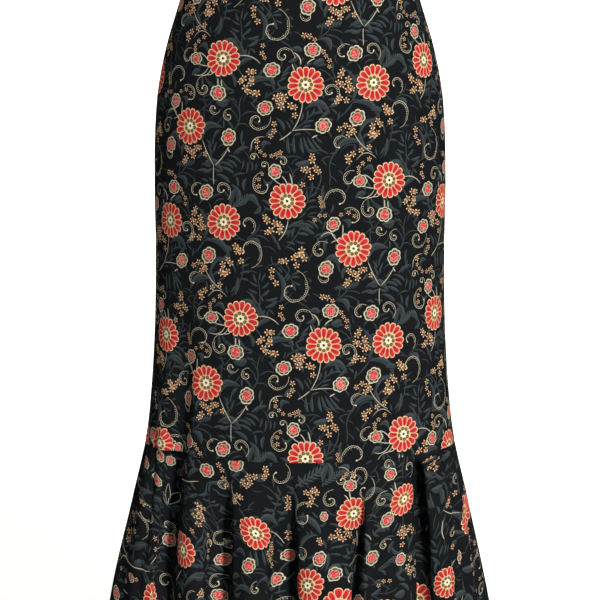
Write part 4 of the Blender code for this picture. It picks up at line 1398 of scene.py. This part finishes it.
# The flounce's front, cut from another place of the same cloth; down is from the flounce's own seam.
flounceChart = {
    "charted": (300, 165),
    "daisies": {
        "A": (-71, 84, 0.92), "B": (-208, 112), "C": (63, 63, 0.93), "D": (134, 49, 0.86),
        "E": (-304, 187), "F": (10, 143, 0.92), "G": (48, 171), "H": (305, 88), "I": (260, 158, 0.85),
    },
    "blossoms": [
        (-115, 14, 0.95), (-249, 39, 0.92), (-77, 4, 0.95), (59, 28, 0.8), (111, 18, 0.85),
        (-264, 115, 0.9), (-145, 125, 0.8), (-88, 122, 1), (-29, 115, 0.75), (24, 112, 0.9),
        (42, 132, 0.85), (-39, 143, 0.85), (114, 115, 0.9), (150, 119, 0.75), (118, 71, 0.9),
        (29, 63, 0.6), (288, 134, 0.85), (-391, 192, 0.9), (-349, 164, 0.6), (-148, 168, 0.8),
        (-264, 21, 0.8), (-228, 8, 0.9), (-208, 15, 0.8),
    ],
    "florets": [
        (-62, 17, 0.9), (-54, 17, 0.9), (-69, 24, 0.9), (-65, 28, 0.9), (-60, 24, 0.9), (-41, 7, 0.9),
        (-40, 13, 0.9), (-43, 18, 0.8), (-150, 57, 0.9), (-148, 60, 0.9), (-156, 64, 0.9), (-167, 70, 0.9),
        (-158, 69, 0.9), (-161, 74, 0.9), (-170, 80, 0.9), (-79, 41, 0.9), (-75, 42, 0.9), (-86, 48, 0.8),
        (-184, 88, 0.8), (-302, 112, 0.8), (-293, 116, 0.8), (-286, 119, 0.7), (-50, 99, 0.9),
        (-54, 104, 0.9), (-48, 105, 0.9), (-60, 109, 0.9), (-48, 111, 0.8), (-56, 115, 0.9),
        (-52, 118, 0.9), (-47, 125, 0.9), (17, 31, 0.9), (12, 35, 0.9), (7, 34, 0.8), (14, 42, 0.9),
        (11, 48, 0.9), (20, 35, 0.8), (-17, 42, 0.8), (-18, 49, 0.8), (-20, 55, 0.8), (45, 81, 0.8),
        (54, 83, 0.9), (39, 88, 0.9), (46, 88, 0.9), (50, 91, 0.9), (58, 88, 0.9), (66, 98, 0.8),
        (23, 90, 0.8), (25, 94, 0.7), (143, 83, 0.9), (154, 83, 0.9), (140, 88, 0.9), (149, 88, 0.9),
        (161, 88, 0.9), (146, 92, 0.9), (148, 102, 0.8), (213, 91, 0.8), (213, 95, 0.7), (176, 8, 0.9),
        (195, 11, 0.9), (200, 17, 0.9), (210, 20, 0.9), (263, 57, 0.9), (244, 60, 0.9), (242, 64, 0.9),
        (253, 69, 0.9), (241, 67, 0.8), (164, 120, 0.9), (161, 129, 0.9), (170, 132, 0.9), (164, 136, 0.9),
        (177, 126, 0.8), (269, 118, 0.8), (343, 129, 0.8), (350, 140, 0.8), (314, 147, 0.8),
        (318, 158, 0.7), (-180, 160, 0.9), (-184, 164, 0.9), (-177, 164, 0.9), (-27, 87, 0.7),
        (-28, 94, 0.7), (131, 143, 0.6), (138, 143, 0.6), (125, 148, 0.6), (258, 147, 0.6),
        (253, 143, 0.6), (-355, 162, 0.7), (-365, 171, 0.7), (-340, 165, 0.6), (63, 17, 0.6),
        (52, 18, 0.6), (55, 14, 0.6), (62, 13, 0.6), (-99, 6, 0.8), (-95, 12, 0.8), (-95, 22, 0.8),
        (-94, 30, 0.7), (-162, 94, 0.7), (-158, 103, 0.7), (-164, 113, 0.7), (-165, 121, 0.7),
        (-86, 46, 0.8), (-171, 9, 0.8), (-174, 14, 0.8), (-168, 18, 0.7), (-155, 14, 0.8), (-153, 20, 0.7),
    ],
    "curls": [
        (-310, 84, 21.5, -100, 1, 5), (-262, 98, 12.5, 120, -1, 6), (-144, 102, 14, -30, -1, 6),
        (-100, 32, 9.5, -20, -1, 6), (-25, 15, 16.5, -60, 1, 5), (4, 63, 21.5, -35, -1, 6),
        (37, 45, 13.5, -80, -1, 7), (70, 14, 14, 80, -1, 5), (77, 36, 18, -60, 1, 6),
        (104, 48, 11.5, -70, -1, 7), (107, 7, 9, 10, -1, 6), (137, 13, 11.5, 80, -1, 5),
        (125, 101, 9, -40, -1, 7), (-79, 150, 9.5, -80, -1, 6), (-151, 153, 12.5, -40, -1, 6),
        (60, 141, 12, 70, -1, 5), (-271, 165, 12.5, -10, -1, 6), (261, 38, 9, 60, 1, 6),
        (361, 188, 10, -60, -1, 6), (2, 108, 10, -110, 1, 5), (-159, 105, 9, 150, 1, 5),
        (63, 19, 7, 0, 1, 6), (50, 21, 7, 180, -1, 6), (-139, 108, 8, -20, -1, 6),
        (175, 140, 9, 200, 1, 6), (-302, 50, 11, 80, 1, 5), (265, 102, 9, -30, -1, 6),
    ],
    "stems": [
        (-85, 28, -78, 52, 3, 0.6), (-52, 83, -32, 101, -5, 0.6), (69, 85, 74, 106, 0, 0.6),
        (106, 116, 57, 126, 4, 0.6), (-129, 28, -204, 34, -1, 0.6), (-376, 143, -314, 153, 2, 0.7),
        (-312, 144, -278, 126, -3, 0.6), (250, 146, 276, 134, 2, 0.6), (234, 71, 279, 81, 3, 0.5),
        (58, 35, 60, 46, 0.5, 0.8), (52, 39, 57, 48, -1, 0.7), (117, 28, 121, 38, 0.5, 0.8),
        (111, 34, 117, 41, -1, 0.7), (94, 87, 107, 94, -2, 0.5), (238, 83, 248, 106, 2, 0.6),
        (-234, 153, -214, 137, 1, 0.7), (45, 6, 59, 13, -3, 0.5), (-248, 72, -244, 54, 3, 0.4),
        (-248, 72, -244, 54, -3, 0.4), (-247, 71, -223, 45, 3, 0.4), (-247, 71, -223, 45, -3, 0.4),
        (-246, 72, -220, 56, 3, 0.4), (-246, 72, -220, 56, -3, 0.4),
    ],
    "leaves": [
        (-85, 17, -63, 14, -8, 4.2), (-73, 32, -60, 20, -4, 3.5), (30, 6, 20, 0, 3, 2.5),
        (80, 94, 110, 112, -8, 4.5), (107, 88, 121, 84, -4, 3.2), (194, 46, 219, 66, 4, 5),
        (216, 43, 229, 64, -4, 4.5), (251, 80, 294, 101, -8, 4), (263, 98, 293, 106, 2, 3),
        (80, 123, 106, 130, 4, 4.5), (88, 139, 112, 141, -4, 4.5), (96, 155, 113, 147, -3, 4),
        (-75, 140, -59, 148, -6, 4), (-59, 146, -43, 139, 3, 3.6), (-52, 151, -38, 151, 2, 3.4),
        (-230, 140, -183, 132, -9, 3.5), (-211, 160, -171, 140, -7, 3.8), (-111, 155, -85, 155, -8, 4),
        (-370, 125, -328, 125, 3, 3.6), (-360, 134, -315, 122, -3, 3), (-338, 141, -297, 148, 3, 2.4),
        (-184, 87, -180, 98, 2, 1.8), (-184, 102, -171, 92, 2, 2), (-183, 108, -167, 101, 2, 1.8),
        (-192, 108, -181, 112, 1, 1.6), (-167, 85, -165, 94, 1, 1.6), (-157, 34, -146, 39, 1, 2),
        (-142, 29, -139, 39, 1, 2), (-160, 48, -140, 43, 1.5, 2), (-140, 45, -125, 41, 1, 2),
        (-145, 49, -144, 56, 1, 1.8), (-138, 48, -130, 52, 1, 1.8), (-168, 43, -161, 50, 1, 1.6),
        (-50, 53, -37, 57, 2, 2.2), (-50, 63, -36, 60, 2, 2), (-39, 46, -25, 50, 2, 2.2),
        (-34, 57, -21, 62, 2, 2.2), (-42, 38, -35, 43, 1.5, 2), (-30, 35, -26, 45, 1.5, 2),
        (-23, 39, -20, 50, 1, 1.8), (-53, 70, -38, 64, 2, 1.6), (191, 18, 207, 29, 3, 3),
        (209, 24, 225, 35, 2, 2.6), (102, 76, 115, 83, -2, 1.6), (104, 81, 115, 90, 2, 1.6),
        (134, 101, 150, 112, 4, 2.6), (140, 111, 151, 108, 2, 2), (-2, 14, 4, 22, 2, 2.4),
        (-118, 67, -89, 70, 2, 1.6), (-118, 55, -118, 69, 2, 1.4), (35, 73, 46, 77, -2, 1.6),
        (20, 73, 32, 70, 2, 1.6), (5, 57, 4, 76, 3, 2.6), (13, 78, 19, 84, 2, 1.6),
        (172, 98, 217, 119, 2, 1.8), (220, 109, 244, 120, 3, 2.6), (226, 126, 248, 136, -3, 2.6),
        (299, 104, 343, 127, 3, 2.2), (293, 161, 304, 178, 3, 2.4), (270, 168, 292, 178, 2, 2.2),
        (-116, 36, -110, 43, -2, 1.4), (-226, 18, -217, 28, -2, 2), (-224, 31, -217, 39, 2, 2),
        (-275, 53, -260, 62, 2, 1.6), (-320, 104, -291, 102, -2, 1.4), (-12, 127, 1, 137, 2, 2),
        (-168, 33, -159, 40, 1.4, 2.2), (-176, 53, -157, 47, 1.4, 2.2), (-182, 46, -169, 43, 1, 1.8),
        (-53, 78, -44, 84, 1.2, 2), (-35, 73, -25, 68, -1.4, 2.2), (-30, 64, -21, 56, 1.2, 2),
        (-219, 146, -207, 154, 1, 2), (-225, 150, -222, 138, 1, 2), (-209, 134, -203, 144, 1, 1.8),
        (51, 113, 67, 111, -2, 1.8), (123, 130, 133, 136, -2, 2), (145, 132, 158, 144, 3, 2.2),
        (149, 148, 163, 157, -3, 2.4), (-85, 137, -99, 130, 2, 1.6), (-117, 139, -104, 146, 2, 1.8),
        (-186, 24, -176, 13, -1.5, 2.2), (-174, 26, -166, 16, 1.5, 2), (-180, 8, -168, 3, -1.5, 2.2),
        (-164, 12, -152, 5, 1.5, 2.4), (-163, 24, -160, 12, -1.2, 1.8), (-149, 13, -143, 23, 1.2, 2.2),
        (-190, 13, -182, 6, 1, 1.6), (-152, 28, -146, 22, 1, 1.4), (-148, 7, -141, 11, 1, 1.8),
    ],
    "fronds": [
        (-5, 27, 28, 6, 8.5),
    ],
    "tendrils": [
        (-126, 46, -135, 67, 3, 0.5), (-136, 63, -136, 76, 2, 0.5), (-144, 62, -124, 57, -2, 0.5),
        (88, 66, 100, 53, 3, 0.5), (93, 70, 112, 77, -2, 0.5), (99, 67, 113, 63, 2, 0.5),
        (197, 83, 208, 98, 2, 0.6), (-31, 104, -25, 88, 1, 0.5), (-119, 70, -89, 81, 3, 0.6),
        (-134, 87, -98, 92, -2, 0.6), (116, 147, 140, 154, -3, 0.6), (126, 157, 149, 151, 3, 0.6),
        (140, 146, 135, 160, 2, 0.5), (7, 24, 18, 31, 2, 0.5), (-60, 32, -46, 34, 2, 0.4),
        (-80, 60, -63, 56, -2, 0.4), (226, 73, 230, 94, 2, 0.5), (244, 106, 243, 123, 2, 0.5),
        (-297, 70, -278, 77, 2, 0.4), (-58, 85, -35, 76, -2, 0.4), (31, 99, 19, 92, 2, 0.4),
        (133, 56, 154, 67, 2, 0.4), (297, 109, 279, 118, 2, 0.5), (-147, 90, -163, 105, 2, 0.5),
        (-298, 130, -277, 139, 2, 0.5), (-52, 74, -24, 33, 3, 0.6), (-172, 42, -122, 43, 2, 0.6),
        (-193, 113, -167, 85, 2, 0.6), (104, 154, 99, 119, 2, 0.6), (-227, 162, -198, 134, 2, 0.6),
    ],
    "shift": (-70.0, -96.0),
}


# how far the fitted pieces and the flounce reach across and down their cloth, in millimetres
fittedReach = ((-290, 290), (0, 590))
flounceReach = ((-560, 560), (0, form["flounceLength"] / mm))
sideNudges = {("B", 1, 1): (-13.0, -2.0), ("E", -1, 1): (11.0, 5.0)}
# crushed in the gathers at the front's left: a daisy and its blossoms
frontExtras = [
    dict(kind="daisies", at=(-196, 574), angle=20.0, size=(0.9, 0.9), tag=0.41),
    dict(kind="blossoms", at=(-217, 567), angle=0.0, size=(0.8, 0.8), tag=0.2),
    dict(kind="blossoms", at=(-172, 578), angle=60.0, size=(0.7, 0.7), tag=0.7),
]


def cutOfRepeat(reach, shift, foliageShift, nudges=None, extras=()):
    # the motifs on a piece cut from the repeat, which starts shifted, in millimetres
    placed = motifsAt(anchorsOfRepeat(*reach, shift, nudges)) + list(extras)
    return moreFoliage(placed, *reach, foliageShift)


def flounceMotifs():
    # the charted part, then the repeat: its foliage wherever there is room, its flowers further out
    charted, depth = flounceChart["charted"]
    more = [motif for motif in motifsAt(anchorsOfRepeat(*flounceReach, flounceChart["shift"]))
            if motif["kind"] in foliageKinds or abs(motif["at"][0]) > charted or motif["at"][1] > depth]
    return moreFoliage(fillRoom(motifsOf(flounceChart), more), *flounceReach, (20, 10))


gap = form["seamGap"] / 2
hem = flounceSeam - form["flounceLength"]
frontMotifs = cutOfRepeat(fittedReach, (0, 0), (95, 70), sideNudges, frontExtras)
backMotifs = cutOfRepeat(fittedReach, (61, 33), (156, 103))
flounceBackMotifs = cutOfRepeat(flounceReach, (-20, 120), (75, 190))
frontCloth = clothPanel("frontCloth", "front", 0.0, waistSeam - gap, flounceSeam + gap, frontMotifs)
backCloth = clothPanel("backCloth", "back", 180.0, waistSeam - gap, flounceSeam + gap, backMotifs)
flounceFront = clothPanel("flounceFrontCloth", "flounce_front", 0.0, flounceSeam - gap, hem, flounceMotifs())
flounceBack = clothPanel("flounceBackCloth", "flounce_back", 180.0, flounceSeam - gap, hem, flounceBackMotifs)
print("cloth panels made")

# Waistband

band = {
    "thickness": 2.4 * mm,
    "standsOut": 0.6 * mm,
    "swell": 0.35 * mm,
    "columns": 240,
    "wallSteps": 14,
    "foldSteps": 9,
    "puckerReach": 9 * mm,
    "puckerDepth": 0.25 * mm,
    "puckers": ((47, 0, 1.0), (31, 40, 0.6)),  # waves round the band, their start in degrees, their share
}


def makeWaistband():
    # a profile (out, height) carried round the waist: two layers of cloth folded over at the top
    bottom = waistSeam + gap
    radius = band["thickness"] / 2
    straight = np.linspace(0, 1, band["wallSteps"])
    fold = np.linspace(0, math.pi, band["foldSteps"])[1:-1]
    outs = np.concatenate([
        band["standsOut"] + band["swell"] * np.sin(math.pi * straight),
        band["standsOut"] - radius + radius * np.cos(fold),
        np.full_like(straight, band["standsOut"] - band["thickness"]),
    ])
    heights = np.concatenate([
        bottom + (bandTop - radius - bottom) * straight,
        bandTop - radius + radius * np.sin(fold),
        bottom + (bandTop - radius - bottom) * straight[::-1],
    ])
    angle = np.linspace(0, 360, band["columns"] + 1)[:-1]
    angle, height = np.meshgrid(angle, heights)
    x, y = ringAt(angle, height)
    nx, ny = ringNormal(angle, height)
    # faint puckers where the band is sewn on, dying out upwards
    nearSeam = np.exp(-((height - bottom) / band["puckerReach"]))
    waves = sum(share * np.sin(np.radians(angle * count + start)) for count, start, share in band["puckers"])
    out = outs[:, None] + band["puckerDepth"] * nearSeam * waves
    points = np.stack([x + nx * out, y + ny * out, height], -1).reshape(-1, 3)
    quads = gridQuads(*height.shape, aroundColumns=True, aroundRows=True)[:, ::-1]
    piece = meshPiece("waistbandCloth", points, quads, bandCrepe, "band_cloth", sharpAngle=70.0)
    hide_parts("waistband")
    return piece


waistband = makeWaistband()
print("waistband made")

# Seams and hem inside

sewing = {
    "allowance": 10 * mm,
    "allowanceThickness": 1.0 * mm,
    "clearance": 0.3 * mm,
    "pastSeam": 3 * mm,  # how far an allowance runs on past its seam
    "belowBand": 2 * mm,
    "shortAtWaist": 4 * mm,  # how much shorter a side seam's allowance is at its ends
    "shortAtHem": 6 * mm,
    "turnUpThickness": 0.8 * mm,
    "turnUpOverlap": 0.1 * mm,
    "turnUpAbove": 0.2 * mm,
    "hemDepth": 16 * mm,
    # rows and columns of each strip
    "flounceGrid": (7, 300),
    "waistGrid": (6, 200),
    "turnUpGrid": (7, 720),
    "sideGrid": (90, 7),
    "hemRows": (10.5 * mm, 13.5 * mm),  # twin rows of stitches above the hem's edge
    "stitchLength": 2.6 * mm,
    "stitchGap": 0.7 * mm,
    "threadRadius": 0.28 * mm,
    "threadRings": (0.5, 0.95, 1.0, 0.95, 0.5),  # a stitch's radii along it, as shares of the thread's
    "threadSides": 6,
    "measureSteps": 4320,
}


def innerStrip(name, angle, height, back, thickness, closed):
    # a strip of cloth lying behind the skirt's inner face, as a closed wall
    faces = [skirtPoint(angle, height, -depth).reshape(-1, 3) for depth in (back, back + thickness)]
    quads = np.concatenate(wallQuads(*angle.shape, closed))
    return meshPiece(name, np.concatenate(faces), quads, allowanceCrepe, "printed_cloth")


def ringStrip(name, top, bottom, grid, back, thickness):
    # all round the skirt between two heights
    rows, columns = sewing[grid]
    angle, height = np.meshgrid(np.linspace(0, 360, columns + 1)[:-1], np.linspace(top, bottom, rows))
    return innerStrip(name, angle, height, back, thickness, closed=True)


def sideStrip(name, middle):
    # down a side seam, an allowance wide to each side of it
    rows, columns = sewing["sideGrid"]
    height = np.linspace(waistSeam - sewing["shortAtWaist"], hem + sewing["shortAtHem"], rows)[:, None]
    _, front, back = sectionAt(height)
    reach = np.degrees(sewing["allowance"] / ((front + back) / 2))
    angle = middle + reach * np.linspace(-1, 1, columns)[None, :]
    height = np.broadcast_to(height, angle.shape)
    back = form["clothThickness"] + 2 * sewing["clearance"] + sewing["allowanceThickness"]
    return innerStrip(name, angle, height, back, sewing["allowanceThickness"], closed=False)


behind = form["clothThickness"] + sewing["clearance"]
allowance, pastSeam = sewing["allowance"], sewing["pastSeam"]
flounceAllowance = ringStrip("flounceSeamAllowance", flounceSeam + allowance, flounceSeam - pastSeam,
                             "flounceGrid", behind, sewing["allowanceThickness"])
waistAllowance = ringStrip("waistSeamAllowance", waistSeam - sewing["belowBand"],
                           waistSeam - allowance - pastSeam, "waistGrid", behind,
                           sewing["allowanceThickness"])
hemFacing = ringStrip("hemTurnUp", hem + sewing["hemDepth"], hem + sewing["turnUpAbove"], "turnUpGrid",
                      form["clothThickness"] - sewing["turnUpOverlap"], sewing["turnUpThickness"])
sideLeft = sideStrip("leftSideAllowance", -90.0)
sideRight = sideStrip("rightSideAllowance", 90.0)


def hemStitches():
    # each stitch: a short hexagonal thread along the hem that rises from the cloth and dives back in,
    # its lift being threadRadius * (1.1 * sin(pi * share) ** 0.6 - 0.5)
    tubes = []
    pitch = sewing["stitchLength"] + sewing["stitchGap"]
    radii, sides = np.array(sewing["threadRings"]), sewing["threadSides"]
    for above in sewing["hemRows"]:
        angle = np.linspace(0, 360, sewing["measureSteps"] + 1)
        path = skirtPoint(angle, np.full_like(angle, hem + above))
        walked = np.concatenate([[0], np.cumsum(np.linalg.norm(np.diff(path, axis=0), axis=1))])
        count = int(walked[-1] // pitch)
        starts = np.arange(count) * walked[-1] / count
        share = np.linspace(0, 1, len(radii))
        atAngle = np.interp(starts[:, None] + sewing["stitchLength"] * share[None, :], walked, angle)
        atHeight = np.full_like(atAngle, hem + above)
        lift = sewing["threadRadius"] * (1.1 * np.sin(math.pi * share) ** 0.6 - 0.5)
        nx, ny = ringNormal(atAngle, atHeight)
        outward = np.stack([nx, ny, np.zeros_like(nx)], -1)
        centre = skirtPoint(atAngle, atHeight) + outward * lift[None, :, None]
        spin = np.linspace(0, turn, sides + 1)[:-1][:, None]
        spokes = np.cos(spin) * outward[:, :, None, :] + np.sin(spin) * np.array([0.0, 0.0, 1.0])
        radius = sewing["threadRadius"] * radii
        tubes.append(centre[:, :, None, :] + radius[:, None, None] * spokes)
    tubes = np.concatenate(tubes)
    # one stitch's quads: its sides, then a pair of quads over each end
    last = (len(radii) - 1) * sides
    caps = np.array([[0, 1, 2, 3], [0, 3, 4, 5], [last + 3, last + 2, last + 1, last],
                     [last + 5, last + 4, last + 3, last]])
    one = np.concatenate([gridQuads(len(radii), sides, aroundColumns=True), caps])
    quads = (one[None] + len(radii) * sides * np.arange(len(tubes))[:, None, None]).reshape(-1, 4)
    return meshPiece("hemStitches", tubes.reshape(-1, 3), quads, blackThread, "printed_cloth")


hemThread = hemStitches()
print("seams and hem sewn")
